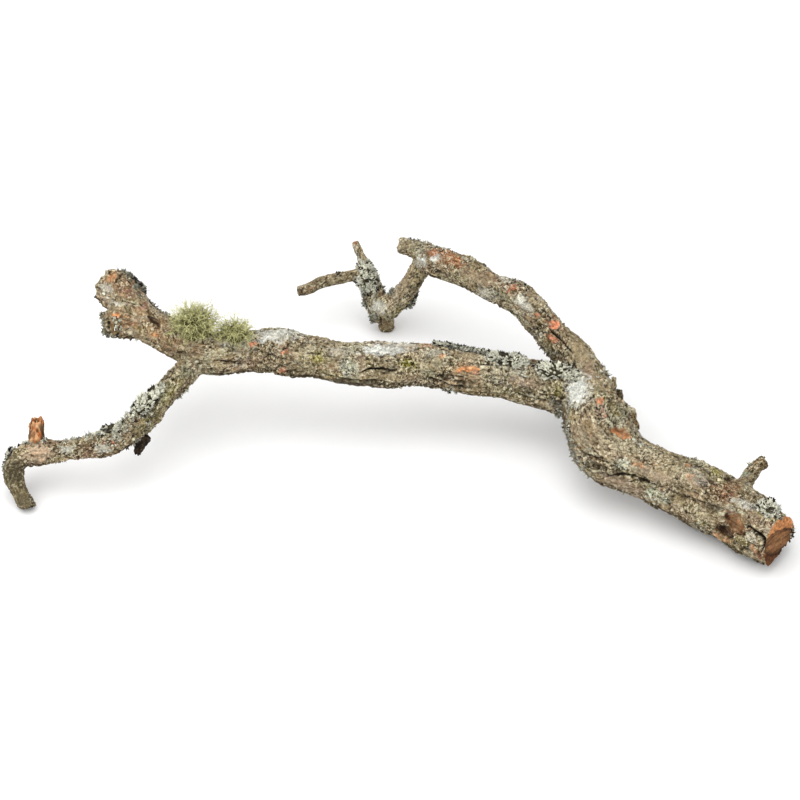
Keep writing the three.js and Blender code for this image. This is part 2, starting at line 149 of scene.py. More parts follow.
NODE_OF_LIMB = {name: name for name in LIMBS} | {"stub_head": "left_stub", "stub_chin": "left_stub"}
JAGGED_ENDS = {"left_stub", "stub_head", "stub_chin", "upper_stub", "butt_twig"}

# The butt's saw cut and the bevel where its lower rim broke away: point, outward normal.
BUTT_CUT = ((364, 4, 25), (0.76, -0.62, 0.16))
BUTT_BEVEL = ((355, 8, 2.5), (0.59, -0.38, -0.71))

# The marks below are on the side that the photograph shows, each at its pixel.

# Splits and furrows in the bark: width and depth in mm, darkness from 0 to 1 (how much painted shade
# the split gets), then the route.
CRACKS = [
    (3.4, 7.0, 1.0, [(744, 524), (755, 531), (763, 537), (763, 545), (761, 552)]),
    (3.2, 2.4, 0.95, [(600, 479), (612, 476), (622, 474), (634, 476), (644, 481), (656, 485)]),
    (3.6, 2.4, 0.6, [(654, 484), (668, 489), (683, 496), (702, 502), (716, 507)]),
    (2.4, 2.0, 0.8, [(581, 453), (591, 455), (598, 459), (608, 463)]),
    (3.2, 2.4, 0.8, [(428, 379), (440, 382), (450, 386), (460, 388), (471, 390)]),
    (3.0, 2.2, 0.65, [(478, 388), (495, 391), (512, 393), (524, 398), (540, 401), (556, 405)]),
    (2.4, 1.8, 0.6, [(560, 376), (566, 388), (570, 402)]),
    (3.4, 4.5, 1.0, [(363, 372), (371, 369), (381, 369), (395, 371)]),
    (2.2, 2.4, 0.8, [(218, 361), (230, 362), (242, 365)]),
    (2.0, 2.2, 0.8, [(249, 361), (257, 363), (264, 366)]),
    (3.0, 4.0, 0.9, [(549, 328), (556, 334), (562, 340), (567, 346), (573, 353)]),
    (2.4, 2.0, 0.5, [(498, 300), (507, 303), (517, 306), (527, 313)]),
    (2.6, 3.5, 1.0, [(624, 406), (628, 413), (631, 419), (634, 425)]),
    (2.0, 2.6, 0.8, [(604, 402), (607, 412), (612, 420), (620, 426)]),
    (2.0, 2.4, 0.8, [(379, 316), (381, 320), (380, 326)]),
    (3.6, 1.8, 0.3, [(540, 372), (520, 376), (532, 380), (546, 385), (556, 392)]),
    (3.4, 2.2, 0.7, [(322, 374), (334, 378), (350, 380), (366, 381), (392, 384)]),
    (2.6, 1.8, 0.4, [(283, 348), (295, 350), (306, 351)]),
    (2.2, 2.0, 0.6, [(133, 338), (146, 341), (160, 346)]),
    (2.2, 2.0, 0.7, [(122, 300), (131, 303), (141, 303), (148, 308)]),
    (2.8, 1.8, 0.4, [(575, 366), (582, 376), (590, 384)]),
    (2.4, 1.8, 0.4, [(28, 455), (40, 457), (52, 455)]),
    (2.6, 1.6, 0.5, [(170, 385), (160, 398), (150, 410)]),
    (2.6, 1.6, 0.4, [(410, 290), (400, 303), (392, 314)]),
]

# Places where the bark has gone: pixel, half length, half width, tilt, depth in mm, colour. The
# near-black brown ones are painted shadow inside the hollows.
HOLES = [
    (735, 524, 13, 7, 48, 2.8, "raw_wood"),
    (727, 517, 5, 2.5, 50, 1.4, "deep_brown"),
    (742, 533, 6, 2.5, -20, 0.8, "deep_brown"),
    (725, 533, 10, 6, 25, 3.4, "hollow_wood"),
    (720, 530, 5, 3, 60, 1.0, "deep_brown"),
    (730, 539, 5, 2, 25, 0.8, "deep_brown"),
    (619, 431, 9, 4, 15, 2.4, "rust_wood"),
    (600, 400, 4, 3, 0, 1.2, "red_orange"),
    (728, 478, 4, 3, 0, 2.4, "deep_brown"),
    (154, 320, 6, 3, 35, 2.4, "deep_brown"),
    (135, 420, 3, 2, 0, 2.2, "deep_brown"),
    (469, 369, 9, 3, -5, 0.8, "orange_wood"),
    (555, 324, 5, 4, 30, 1.2, "red_orange"),
    (555, 333, 6, 2.5, 30, 3.0, "deep_brown"),
    (143, 307, 4, 3, 30, 1.6, "pink_wood"),
    (116, 314, 4, 3, 0, 2.0, "orange_wood"),
    (712, 481, 4, 2, 20, 1.8, "deep_brown"),
]

# Colour on the bark: pixel, half length, half width, tilt, strength.
PATCHES = {
    "pale_bark": [
        (620, 445, 18, 14, 0, 0.85), (680, 475, 16, 9, 20, 0.8), (648, 452, 20, 8, 25, 0.7),
        (600, 422, 12, 14, 0, 0.5), (720, 505, 12, 6, 20, 0.4), (700, 515, 14, 6, 25, 0.45),
        (300, 350, 20, 9, 0, 0.6), (335, 355, 12, 9, 0, 0.5), (520, 302, 14, 9, 35, 0.5),
        (482, 279, 14, 6, 22, 0.4), (748, 538, 8, 7, 30, 0.95), (770, 517, 9, 5, 40, 0.7),
        (106, 289, 9, 8, 20, 0.8), (240, 342, 16, 6, 10, 0.7), (205, 337, 16, 6, 8, 0.6),
        (400, 244, 7, 9, 0, 0.6), (395, 300, 14, 4, -58, 0.3), (455, 275, 14, 6, 25, 0.4),
        (85, 449, 10, 5, 0, 0.35), (535, 375, 14, 6, 10, 0.4), (500, 372, 16, 7, 8, 0.35),
        (132, 332, 6, 6, 0, 0.6), (420, 362, 22, 9, 0, 0.35), (605, 440, 10, 14, 0, 0.5),
        (598, 408, 12, 14, 10, 0.4), (556, 378, 8, 10, 0, 0.4), (640, 470, 18, 8, 25, 0.4),
    ],
    "dark_bark": [
        (130, 288, 9, 9, 20, 0.8), (556, 400, 8, 10, 0, 0.5), (575, 470, 10, 12, 40, 0.45),
        (62, 448, 24, 8, -5, 0.55), (92, 450, 20, 8, 0, 0.45), (14, 470, 12, 14, 0, 0.3),
        (735, 486, 12, 5, 20, 0.5), (520, 390, 24, 5, 8, 0.4), (450, 384, 22, 4, 5, 0.5),
    ],
    "mauve": [
        (626, 487, 30, 8, 22, 0.85), (655, 475, 24, 6, 20, 0.8), (357, 362, 4, 12, 0, 0.5),
        (690, 482, 18, 5, 20, 0.5), (585, 372, 10, 18, -35, 0.4), (350, 384, 30, 3, 5, 0.4),
        (398, 292, 22, 6, -58, 0.6), (361, 361, 5, 11, 0, 0.7), (278, 350, 8, 7, 0, 0.6),
        (480, 278, 26, 8, 22, 0.4), (330, 272, 24, 6, -12, 0.3), (537, 384, 24, 8, 8, 0.6),
        (474, 355, 14, 7, -10, 0.5), (578, 424, 8, 16, 0, 0.4), (612, 455, 16, 10, 20, 0.35),
    ],
    "smooth_brown": [
        (580, 350, 26, 11, 50, 0.8), (595, 378, 12, 9, 60, 0.6), (388, 378, 18, 4, 4, 0.6),
        (300, 362, 26, 8, 0, 0.3), (755, 512, 14, 5, 32, 0.6), (480, 275, 22, 8, 22, 0.4),
    ],
    "twig_olive": [
        (16, 474, 14, 20, 0, 0.85), (24, 497, 14, 17, 0, 0.85), (9, 462, 6, 8, 0, 0.6),
        (320, 285, 24, 8, -10, 0.3), (385, 325, 8, 5, 0, 0.5),
    ],
    "twig_brown": [
        (761, 465, 8, 8, 0, 0.85), (766, 461, 5, 4, 0, 0.5), (97, 455, 24, 3, -8, 0.5),
        (306, 290, 8, 6, 0, 0.6), (382, 324, 8, 5, 0, 0.5),
    ],
    "olive": [
        (160, 402, 24, 9, -48, 0.6), (148, 424, 14, 8, -40, 0.6), (62, 460, 20, 3, -8, 0.6),
        (180, 380, 14, 8, -45, 0.4), (555, 388, 12, 8, 0, 0.4), (316, 360, 20, 6, 0, 0.4),
    ],
    "stub_brown": [
        (150, 322, 40, 18, 30, 0.65), (118, 285, 18, 14, 30, 0.6), (122, 325, 18, 12, 20, 0.6),
        (185, 345, 24, 14, 10, 0.3), (250, 362, 30, 8, 5, 0.3),
    ],
    "red_brown": [
        (727, 494, 14, 10, 20, 0.7), (445, 256, 20, 9, 22, 0.7), (733, 484, 9, 6, 0, 0.5),
        (124, 285, 12, 9, 30, 0.4), (132, 326, 14, 6, 10, 0.35), (458, 262, 9, 5, 20, 0.5),
        (760, 555, 8, 4, 30, 0.7), (560, 345, 5, 10, 30, 0.3), (85, 458, 14, 5, 0, 0.4),
        (352, 365, 8, 8, 0, 0.3), (100, 445, 20, 5, -10, 0.35),
    ],
    "pink_wood": [
        (601, 411, 4, 6, 10, 0.7), (132, 293, 9, 4, 20, 0.4), (146, 303, 4, 2, 0, 0.7),
        (756, 520, 14, 6, 30, 0.35), (250, 362, 9, 4, 0, 0.4), (520, 382, 16, 5, 12, 0.3),
        (770, 526, 5, 3, 0, 0.5), (668, 489, 12, 4, 20, 0.35), (588, 372, 6, 12, 0, 0.3),
        (85, 460, 16, 5, 0, 0.35), (620, 396, 3, 8, 0, 0.3),
    ],
    "light_fleck": [
        (610, 421, 8, 2, 60, 0.8), (606, 409, 5, 1.5, 70, 0.6), (632, 408, 5, 2, 60, 0.6),
        (741, 512, 6, 2, 30, 0.7), (722, 514, 4, 2, 0, 0.7), (119, 305, 6, 2.5, 0, 0.7),
        (32, 449, 8, 3, -10, 0.75), (43, 455, 7, 2.5, 0, 0.75), (35, 461, 9, 2, 5, 0.65),
        (49, 449, 4, 3, 0, 0.7), (146, 404, 5, 3, 30, 0.6), (130, 332, 4, 5, 0, 0.6),
    ],
    "tan": [
        (731, 530, 6, 2, 60, 0.9), (719, 523, 5, 2, 35, 0.7), (744, 518, 5, 2, 40, 0.6),
        (145, 402, 6, 5, 40, 0.7), (170, 318, 10, 8, 30, 0.4), (150, 333, 14, 8, 20, 0.4),
        (632, 420, 4, 8, 20, 0.5), (60, 462, 22, 2, -5, 0.6),
    ],
    "peeled": [(38, 454, 15, 11, 0, 0.9)],
    "dark_algae": [
        (345, 383, 34, 3, 0, 0.8), (590, 470, 8, 10, 40, 0.5), (560, 430, 5, 26, 0, 0.6),
        (715, 508, 9, 3, 0, 0.6), (700, 482, 3, 2, 0, 0.7), (140, 430, 8, 6, 40, 0.4),
        (735, 556, 12, 4, 35, 0.5), (270, 370, 8, 3, 0, 0.5), (570, 398, 22, 3, 25, 0.5),
        (600, 500, 12, 3, 25, 0.4), (440, 386, 60, 2, 4, 0.4), (20, 470, 10, 24, 60, 0.4),
    ],
    "white_crust": [
        (577, 389, 12, 17, 8, 1.0), (379, 349, 20, 6, 3, 0.95),
        (275, 335, 24, 7, -5, 0.85), (392, 348, 20, 6, 0, 0.6), (486, 294, 10, 7, 30, 0.45),
        (505, 278, 9, 4, 30, 0.5), (521, 298, 6, 5, 30, 0.6), (437, 256, 2.5, 4, 0, 0.8),
        (422, 260, 3, 3, 0, 0.8), (246, 340, 10, 4, 10, 0.5),
        (378, 307, 8, 7, 0, 0.75), (744, 503, 13, 4, 20, 0.6), (433, 259, 4, 3, 0, 0.8),
        (522, 303, 12, 3, 30, 0.5), (436, 352, 16, 4, 0, 0.3), (340, 351, 14, 5, 0, 0.3),
        (106, 288, 7, 4, 20, 0.5), (117, 303, 7, 3, 0, 0.5), (700, 478, 12, 6, 30, 0.25),
        (748, 537, 8, 5, 35, 0.35), (731, 512, 6, 3, 30, 0.6), (68, 449, 7, 3, 0, 0.6),
        (102, 449, 7, 5, 0, 0.5), (196, 338, 7, 3, 0, 0.4), (365, 280, 9, 9, 0, 0.4),
        (420, 262, 6, 6, 0, 0.4), (520, 305, 10, 3, 35, 0.4),
    ],
    "mint": [
        (650, 492, 5, 6, 0, 0.9), (662, 498, 12, 5, 30, 0.4), (622, 463, 7, 5, 0, 0.6),
        (349, 368, 9, 11, 0, 0.75), (722, 512, 5, 3, 0, 0.5), (119, 321, 3, 3, 0, 0.7),
        (135, 303, 4, 3, 0, 0.5), (746, 474, 5, 3, 0, 0.7), (790, 516, 8, 3, 40, 0.4),
        (160, 395, 7, 11, 40, 0.4), (186, 372, 7, 9, 40, 0.3), (622, 414, 6, 10, 20, 0.3),
        (500, 296, 16, 5, 30, 0.3),
    ],
    "yellow_green": [
        (716, 471, 8, 4, 30, 0.8), (558, 390, 6, 8, 0, 0.45), (319, 357, 7, 6, 0, 0.7),
        (409, 364, 10, 6, 20, 1.0), (408, 364, 8, 5, 20, 1.0), (120, 425, 8, 6, -30, 0.3),
        (700, 523, 6, 4, 30, 0.4), (170, 392, 5, 12, 40, 0.35),
        (140, 330, 6, 5, 0, 0.3), (764, 515, 12, 3, 35, 0.35), (400, 312, 12, 4, -50, 0.3),
    ],
    "orange_wood": [
        (443, 356, 3, 3, 0, 0.8), (462, 369, 5, 4, 0, 0.9), (638, 465, 6, 2, 0, 0.8),
        (428, 345, 5, 3, 0, 0.5), (448, 254, 12, 4, 20, 0.45), (455, 262, 7, 4, 20, 0.4),
        (690, 476, 3, 3, 0, 0.6), (688, 464, 3, 2, 0, 0.7), (253, 343, 3, 2, 0, 0.6),
        (112, 276, 6, 4, -40, 0.7), (155, 335, 4, 2, 20, 0.7), (717, 535, 5, 3, 40, 0.8),
        (726, 541, 6, 2, 25, 0.8), (752, 548, 4, 2, 40, 0.5), (628, 435, 4, 2, 20, 0.8),
    ],
    "red_orange": [
        (286, 351, 4, 4, 0, 0.8), (282, 371, 4, 3, 0, 0.8), (511, 288, 6, 4, 0, 0.85),
        (252, 344, 4, 3, 0, 0.8), (554, 323, 8, 5, 20, 0.6), (551, 338, 6, 3, 20, 0.8),
        (537, 315, 3, 2, 30, 0.8), (549, 336, 3, 2, 0, 0.7), (355, 243, 2, 2, 0, 0.9),
        (113, 443, 2, 2, 0, 0.8), (475, 372, 3, 2, 0, 0.6), (434, 253, 5, 3, 0, 0.4),
        (606, 414, 2, 3, 0, 0.6),
    ],
}

# Leafy lichen that is too thin for a cushion: pixel, half length, half width, tilt, how many
# lobes, how dark they are from 0 to 1, and how far they stand up from 0 to 1.
SPRINKLES = [
    (657, 497, 12, 7, 25, 44, 0.1, 0.2), (622, 463, 8, 6, 0, 30, 0.15, 0.3),
    (620, 492, 8, 6, 0, 10, 0.3, 0.3), (349, 368, 9, 10, 0, 60, 0.1, 0.25),
    (507, 285, 8, 6, 30, 14, 0.2, 0.3), (430, 243, 14, 4, 15, 40, 0.45, 0.6),
    (419, 266, 7, 6, 0, 26, 0.2, 0.4), (68, 449, 9, 5, 0, 30, 0.12, 0.3),
    (102, 449, 8, 6, 0, 24, 0.1, 0.3), (26, 437, 8, 7, 0, 40, 0.25, 0.6),
    (108, 291, 8, 6, 10, 22, 0.15, 0.3), (128, 272, 9, 5, 30, 50, 0.75, 0.8),
    (135, 283, 4, 8, -20, 36, 0.85, 0.9), (160, 309, 18, 4, 35, 60, 0.8, 0.7),
    (99, 318, 4, 8, 0, 34, 0.6, 0.9), (103, 333, 4, 5, 0, 24, 0.75, 0.8),
    (556, 408, 5, 12, -12, 60, 0.75, 0.7), (565, 428, 4, 12, -25, 60, 0.75, 0.7),
    (574, 452, 5, 16, -20, 70, 0.7, 0.7), (584, 470, 8, 5, 40, 34, 0.7, 0.5),
    (362, 300, 4, 12, 10, 70, 0.8, 0.9), (374, 315, 4, 4, 10, 30, 0.8, 0.8),
    (389, 290, 4, 8, -40, 60, 0.85, 0.9), (369, 322, 4, 3, 0, 24, 0.85, 0.8),
    (606, 369, 5, 6, 0, 18, 0.5, 0.7), (548, 352, 14, 4, 20, 34, 0.6, 0.5),
    (238, 346, 12, 5, 0, 26, 0.3, 0.4), (210, 334, 14, 5, 10, 26, 0.6, 0.6),
    (83, 430, 10, 3, -10, 44, 0.5, 0.8), (736, 505, 10, 5, 20, 30, 0.25, 0.3),
    (764, 507, 9, 4, 35, 30, 0.4, 0.5), (746, 462, 3, 3, 0, 10, 0.3, 0.8),
    (700, 525, 8, 5, 30, 10, 0.5, 0.4), (400, 343, 12, 3, 0, 14, 0.4, 0.5),
    (455, 345, 20, 2, 6, 70, 0.95, 0.9), (500, 351, 26, 2, 6, 90, 0.95, 0.9),
    (470, 262, 10, 4, 20, 10, 0.4, 0.4), (560, 300, 12, 3, 45, 10, 0.4, 0.4),
    (150, 421, 6, 8, 40, 16, 0.5, 0.5),
    (500, 363, 14, 6, 10, 34, 0.12, 0.3), (530, 370, 16, 6, 8, 40, 0.2, 0.4),
    (562, 368, 14, 6, 5, 44, 0.2, 0.5), (142, 412, 8, 5, 0, 30, 0.1, 0.3),
    (366, 283, 8, 10, 0, 40, 0.15, 0.5), (600, 375, 5, 12, -30, 16, 0.5, 0.5),
    (640, 445, 10, 3, 20, 16, 0.4, 0.5), (690, 458, 12, 3, 20, 12, 0.4, 0.5),
    (285, 333, 14, 4, 5, 40, 0.15, 0.4), (30, 440, 6, 4, 20, 30, 0.2, 0.6),
    (43, 440, 5, 3, 0, 16, 0.6, 0.6), (37, 443, 6, 2, 0, 14, 0.5, 0.4),
    (124, 420, 8, 10, -40, 70, 0.2, 0.6), (118, 433, 9, 6, -30, 50, 0.25, 0.5),
    (70, 438, 9, 3, -10, 18, 0.5, 0.7), (95, 436, 9, 4, -15, 36, 0.2, 0.6),
    (108, 446, 7, 4, 0, 24, 0.15, 0.4),
    (28, 441, 6, 4, 20, 24, 0.3, 0.7), (34, 439, 5, 2, 0, 14, 0.5, 0.6),
]

# Loose plates of bark: pixel, length, width, heading in the image, lift of the free edge in
# mm, colour.
PLATES = [
    (616, 414, 24, 10, 62, 2.6, "olive"), (634, 421, 18, 5, 62, 4.0, "tan"),
    (620, 394, 13, 5, 78, 4.0, "flake_dark"), (613, 383, 12, 6, 70, 2.5, "grey_tan"),
    (604, 428, 12, 6, 50, 2.0, "grey_tan"), (118, 300, 12, 6, 15, 1.8, "grey_tan"),
    (128, 310, 11, 5, 40, 2.0, "olive"), (150, 314, 9, 4, 45, 2.0, "umber"),
    (715, 515, 10, 5, 25, 1.8, "grey_tan"), (650, 506, 14, 5, 30, 1.4, "grey_tan"),
    (742, 541, 14, 9, 40, 1.6, "olive"),
]

# Colours, as the photograph shows them (sRGB, 0 to 255).
COLOURS = {
    "grey_tan": (174, 155, 118),
    "pink_tan": (178, 148, 115),
    "mauve": (160, 139, 117),
    "smooth_brown": (162, 143, 110),
    "twig_olive": (87, 76, 51),
    "olive": (153, 143, 95),
    "umber": (106, 84, 53),
    "light_fleck": (249, 239, 205),
    # Near-black painted shade: undersides, low spots, gaps, cracks, grooves, pits and the hidden sides
    # of loose plates.
    "deep_shade": (40, 29, 16),
    "white_crust": (230, 231, 222),
    "mint": (198, 208, 180),
    "yellow_green": (164, 156, 66),
    "orange_wood": (222, 152, 100),
    "red_orange": (216, 134, 98),
    "pink_wood": (190, 148, 130),
    "red_brown": (152, 103, 72),
    "stub_brown": (168, 128, 90),
    "tan": (192, 162, 122),
    "peeled": (206, 174, 144),
    "dark_algae": (58, 52, 34),
    "raw_wood": (140, 94, 60),
    "deep_brown": (40, 24, 15),
    # Painted shadow in the hollows and along the sunk heartwood of the butt.
    "hollow_wood": (92, 60, 36),
    "rust_wood": (180, 114, 68),
    "twig_brown": (142, 116, 82),
    "pale_bark": (214, 199, 164),
    "dark_bark": (108, 88, 64),
    "cut_rim": (194, 130, 80),
    "cut_low": (100, 60, 31),
    "cut_light": (146, 103, 65),
    "cut_dark": (86, 52, 26),
    "leaf_top": (214, 215, 187),
    "leaf_edge": (248, 246, 226),
    "leaf_dark": (54, 53, 37),
    "leaf_under": (26, 22, 17),
    # Painted shade between the lobes of a leafy lichen cushion.
    "lobe_gap_shade": (66, 60, 42),
    "beard_tip": (229, 227, 166),
    "beard_root": (104, 100, 52),
    "spur_wood": (184, 100, 50),
    "spur_pale": (230, 190, 142),
    "flake_dark": (36, 29, 24),
}


def linear(name):
    """A named colour as linear light."""
    share = np.array(COLOURS[name]) / 255.0
    return np.where(share <= 0.04045, share / 12.92, ((share + 0.055) / 1.055) ** 2.4)


def plain(name, count):
    """The same named colour for each of many points."""
    return np.tile(linear(name), (count, 1))


def between(first, second, share):
    """The colour that lies between two named ones."""
    return linear(first) * (1 - share) + linear(second) * share


def blend(colour, other, share):
    """Colours moved towards others by each point's share."""
    return colour + (other - colour) * np.asarray(share)[:, None]


def mix(colour, name, share):
    """Colours moved towards a named one by each point's share."""
    return blend(colour, linear(name), share)


def unit(ways):
    """Directions, each scaled to a length of 1."""
    return ways / np.maximum(np.linalg.norm(ways, axis=-1, keepdims=True), 1e-9)


def hashed(cell, seed):
    """A repeatable number from 0 to 1 for each whole-number place."""
    x, y, z = (cell[:, axis].astype(np.uint64) & np.uint64(0xFFFFFFFF) for axis in range(3))
    h = x * np.uint64(374761393) + y * np.uint64(668265263) + z * np.uint64(2246822519)
    h = (h + np.uint64(seed * 97531 + 7)) & np.uint64(0xFFFFFFFF)
    h = ((h ^ (h >> np.uint64(13))) * np.uint64(1274126177)) & np.uint64(0xFFFFFFFF)
    return ((h ^ (h >> np.uint64(16))) & np.uint64(0xFFFFFF)).astype(float) / 0xFFFFFF


def noise(points, seed):
    """Smooth noise from -1 to 1, one cell to a unit."""
    cell = np.floor(points)
    part = points - cell
    part = part * part * (3 - 2 * part)
    total = np.zeros(len(points))
    for corner in itertools.product((0, 1), repeat=3):
        weight = np.prod(np.where(corner, part, 1 - part), axis=1)
        total += weight * hashed((cell + corner).astype(np.int64), seed)
    return 2 * total - 1


def layered(points, seed, octaves=3):
    """Smooth noise with finer and fainter noise on it."""
    total = sum(noise(points * 2**k, seed + k) / 2**k for k in range(octaves))
    return total / (2 - 0.5 ** (octaves - 1))


def cracked(points, seed):
    """Cells: how far each point is from its cell's border, and a number for its cell."""
    cell = np.floor(points)
    nearest = np.full(len(points), np.inf)
    second = np.full(len(points), np.inf)
    number = np.zeros(len(points))
    for offset in itertools.product((-1, 0, 1), repeat=3):
        here = (cell + offset).astype(np.int64)
        centre = here + np.stack([hashed(here, seed + k) for k in range(3)], axis=1)
        distance = np.linalg.norm(points - centre, axis=1)
        closer = distance < nearest
        second = np.where(closer, nearest, np.minimum(second, distance))
        number = np.where(closer, hashed(here, seed + 5), number)
        nearest = np.where(closer, distance, nearest)
    return second - nearest, number


def ramp(low, high, value):
    """0 below low, 1 above high, smooth between; the other way round if high is below low."""
    t = np.clip((value - low) / (high - low), 0, 1)
    return t * t * (3 - 2 * t)


def project(points):
    """The pixels at which points are seen."""
    seen = points - CAMERA_AT
    scale = DISTANCE / -(seen @ TO_CAMERA)
    return FRAME / 2 + (seen @ IMAGE_RIGHT) * scale, FRAME / 2 - (seen @ IMAGE_UP) * scale


def sight(x, y):
    """The direction in which the camera sees a pixel."""
    across, down = x - FRAME / 2, y - FRAME / 2
    return unit(-TO_CAMERA * DISTANCE + IMAGE_RIGHT * across - IMAGE_UP * down)


def image_way(heading):
    """A direction across the picture: degrees from the right, turning downwards."""
    turn = math.radians(heading)
    return IMAGE_RIGHT * math.cos(turn) - IMAGE_UP * math.sin(turn)


SEARCH_REACH = 8  # how many pixels away a mark may find the surface


def seen_at(tree, x, y):
    """The point and the normal of a surface that a pixel shows, or that one close to it shows."""
    for reach in range(0, SEARCH_REACH + 1, 2):
        for turn in np.linspace(0, 2 * math.pi, 8 if reach else 1, endpoint=False):
            way = sight(x + reach * math.cos(turn), y + reach * math.sin(turn))
            place, normal, _, _ = tree.ray_cast(Vector(CAMERA_AT), Vector(way))
            if place is not None:
                return np.array(place), np.array(normal)
    return None


def in_ellipse(pixels, x, y, long, wide, tilt):
    """Where pixels lie along and across a tilted ellipse, 1 at its edge."""
    right, down = pixels[0] - x, pixels[1] - y
    turn = math.radians(tilt)
    along = (right * math.cos(turn) + down * math.sin(turn)) / long
    across = (down * math.cos(turn) - right * math.sin(turn)) / wide
    return along, across


SPINE_STEP = 2.0
CURVE_STEPS = 12  # points of the smooth curve from one given station to the next
TUBE_SIDES = 40


def path_lengths(line):
    """How far along a line each of its points lies."""
    return np.concatenate([[0], np.cumsum(np.linalg.norm(np.diff(line, axis=0), axis=1))])


def smooth_spine(name):
    """A limb's stations at even steps on a smooth curve, each with its cross axes."""
    given = np.array(LIMBS[name], float)
    padded = np.vstack([2 * given[0] - given[1], given, 2 * given[-1] - given[-2]])
    curve = []
    for k in range(len(given) - 1):
        p0, p1, p2, p3 = padded[k : k + 4]
        for t in np.linspace(0, 1, CURVE_STEPS, endpoint=False):
            curve.append(
                0.5 * (2 * p1 + (p2 - p0) * t + (2 * p0 - 5 * p1 + 4 * p2 - p3) * t**2
                       + (3 * p1 - p0 - 3 * p2 + p3) * t**3)
            )
    curve = np.vstack([curve, given[-1]])
    gone = path_lengths(curve[:, :3])
    along = np.linspace(0, gone[-1], max(3, int(gone[-1] / SPINE_STEP)))
    even = np.stack([np.interp(along, gone, curve[:, k]) for k in range(4)], axis=1)
    centre = even[:, :3] + DRAWN_FROM
    forward = unit(np.gradient(centre, axis=0))
    reference = SWELLINGS[name][0]
    up = unit(reference - forward * (forward @ reference)[:, None])
    return {
        "name": name, "along": along, "centre": centre, "radius": even[:, 3],
        "forward": forward, "up": up, "side": np.cross(forward, up),
    }


def bulge(name, along, turns, radius):
    """How far a limb's bark stands out from its spine's radius, all round one station."""
    _, rough, phase = SWELLINGS[name]
    height = rough * (
        0.5 * np.sin(2 * turns + along * 0.05 + phase)
        + 0.4 * np.sin(3 * turns - along * 0.09 + 2 * phase)
        + 0.35 * np.sin(turns + along * 0.14 + 3 * phase)
    )
    for at, angle, top, long, wide in LUMPS.get(name, []):
        off = turns - math.radians(angle)
        sideways = np.arctan2(np.sin(off), np.cos(off)) * radius
        height = height + top * np.exp(-(((along - at) / long) ** 2) - (sideways / wide) ** 2)
    return height


# Rings that close a limb's ends: push along and reach, both as shares of the radius.
FIRST_RINGS = [(-0.4, 0.4), (-0.3, 0.75), (-0.12, 0.95)]
LAST_RINGS = [(0.12, 0.97), (0.24, 0.8), (0.3, 0.45)]
JAGGED, WORN = 0.38, 0.05  # how far the teeth of a broken end and of a worn one stand out


def tube(spine, jagged, seed):
    """A closed tube round a spine, rounded or broken at its ends."""
    turns = np.linspace(0, 2 * math.pi, TUBE_SIDES, endpoint=False)
    rng = np.random.default_rng(seed)
    rows = [(0, push, share) for push, share in FIRST_RINGS]
    rows += [(k, 0.0, 1.0) for k in range(len(spine["along"]))]
    rows += [(-1, push, share) for push, share in LAST_RINGS]
    teeth = np.convolve(np.tile(rng.uniform(-1, 1, TUBE_SIDES), 3), [0.3, 0.4, 0.3], "same")
    teeth = teeth[TUBE_SIDES : 2 * TUBE_SIDES] * (JAGGED if jagged else WORN)
    rings = []
    for k, push, share in rows:
        radius = spine["radius"][k]
        reach = share * (radius + bulge(spine["name"], spine["along"][k], turns, radius))
        ring = spine["centre"][k] + spine["forward"][k] * push * radius
        ring = ring + (np.cos(turns) * reach)[:, None] * spine["up"][k]
        ring = ring + (np.sin(turns) * reach)[:, None] * spine["side"][k]
        if k == -1:
            ring = ring + np.outer(teeth * radius * min(1, push * 6), spine["forward"][k])
        rings.append(ring)
    points = np.vstack(rings)
    faces = []
    for row in range(len(rings) - 1):
        for k in range(TUBE_SIDES):
            a, b = row * TUBE_SIDES + k, row * TUBE_SIDES + (k + 1) % TUBE_SIDES
            faces.append((a, a + TUBE_SIDES, b + TUBE_SIDES, b))
    faces.append(tuple(range(TUBE_SIDES)))
    faces.append(tuple(reversed(range(len(points) - TUBE_SIDES, len(points)))))
    return points, faces


def cut_by(points, faces, planes):
    """The part of a closed mesh behind each plane, closed again."""
    made = bmesh.new()
    verts = [made.verts.new(p) for p in points]
    for face in faces:
        made.faces.new([verts[k] for k in face])
    for place, normal in planes:
        everything = made.verts[:] + made.edges[:] + made.faces[:]
        cut = bmesh.ops.bisect_plane(
            made, geom=everything, plane_co=Vector(place), plane_no=Vector(normal), clear_outer=True
        )
        rim = [e for e in cut["geom_cut"] if isinstance(e, bmesh.types.BMEdge)]
        bmesh.ops.contextual_create(made, geom=rim)
    made.verts.index_update()
    points = np.array([v.co[:] for v in made.verts])
    faces = [tuple(v.index for v in f.verts) for f in made.faces]
    made.free()
    return points, faces


def placed(name, data):
    """A new object in the scene."""
    made = bpy.data.objects.new(name, data)
    bpy.context.collection.objects.link(made)
    return made


def new_mesh(name, points, faces):
    """A mesh in metres from points in millimetres."""
    mesh = bpy.data.meshes.new(name)
    mesh.from_pydata((np.asarray(points) * MM).tolist(), [], [list(map(int, f)) for f in faces])
    mesh.validate()
    mesh.update()
    return mesh


def joined(parts):
    """Meshes as one: their points, their faces and what else each gives for its points."""
    faces = []
    start = 0
    for points, sides, *_ in parts:
        faces += [[k + start for k in side] for side in sides]
        start += len(points)
    points, _, *more = zip(*parts)
    return (np.vstack(points), faces, *(np.vstack(values) for values in more))


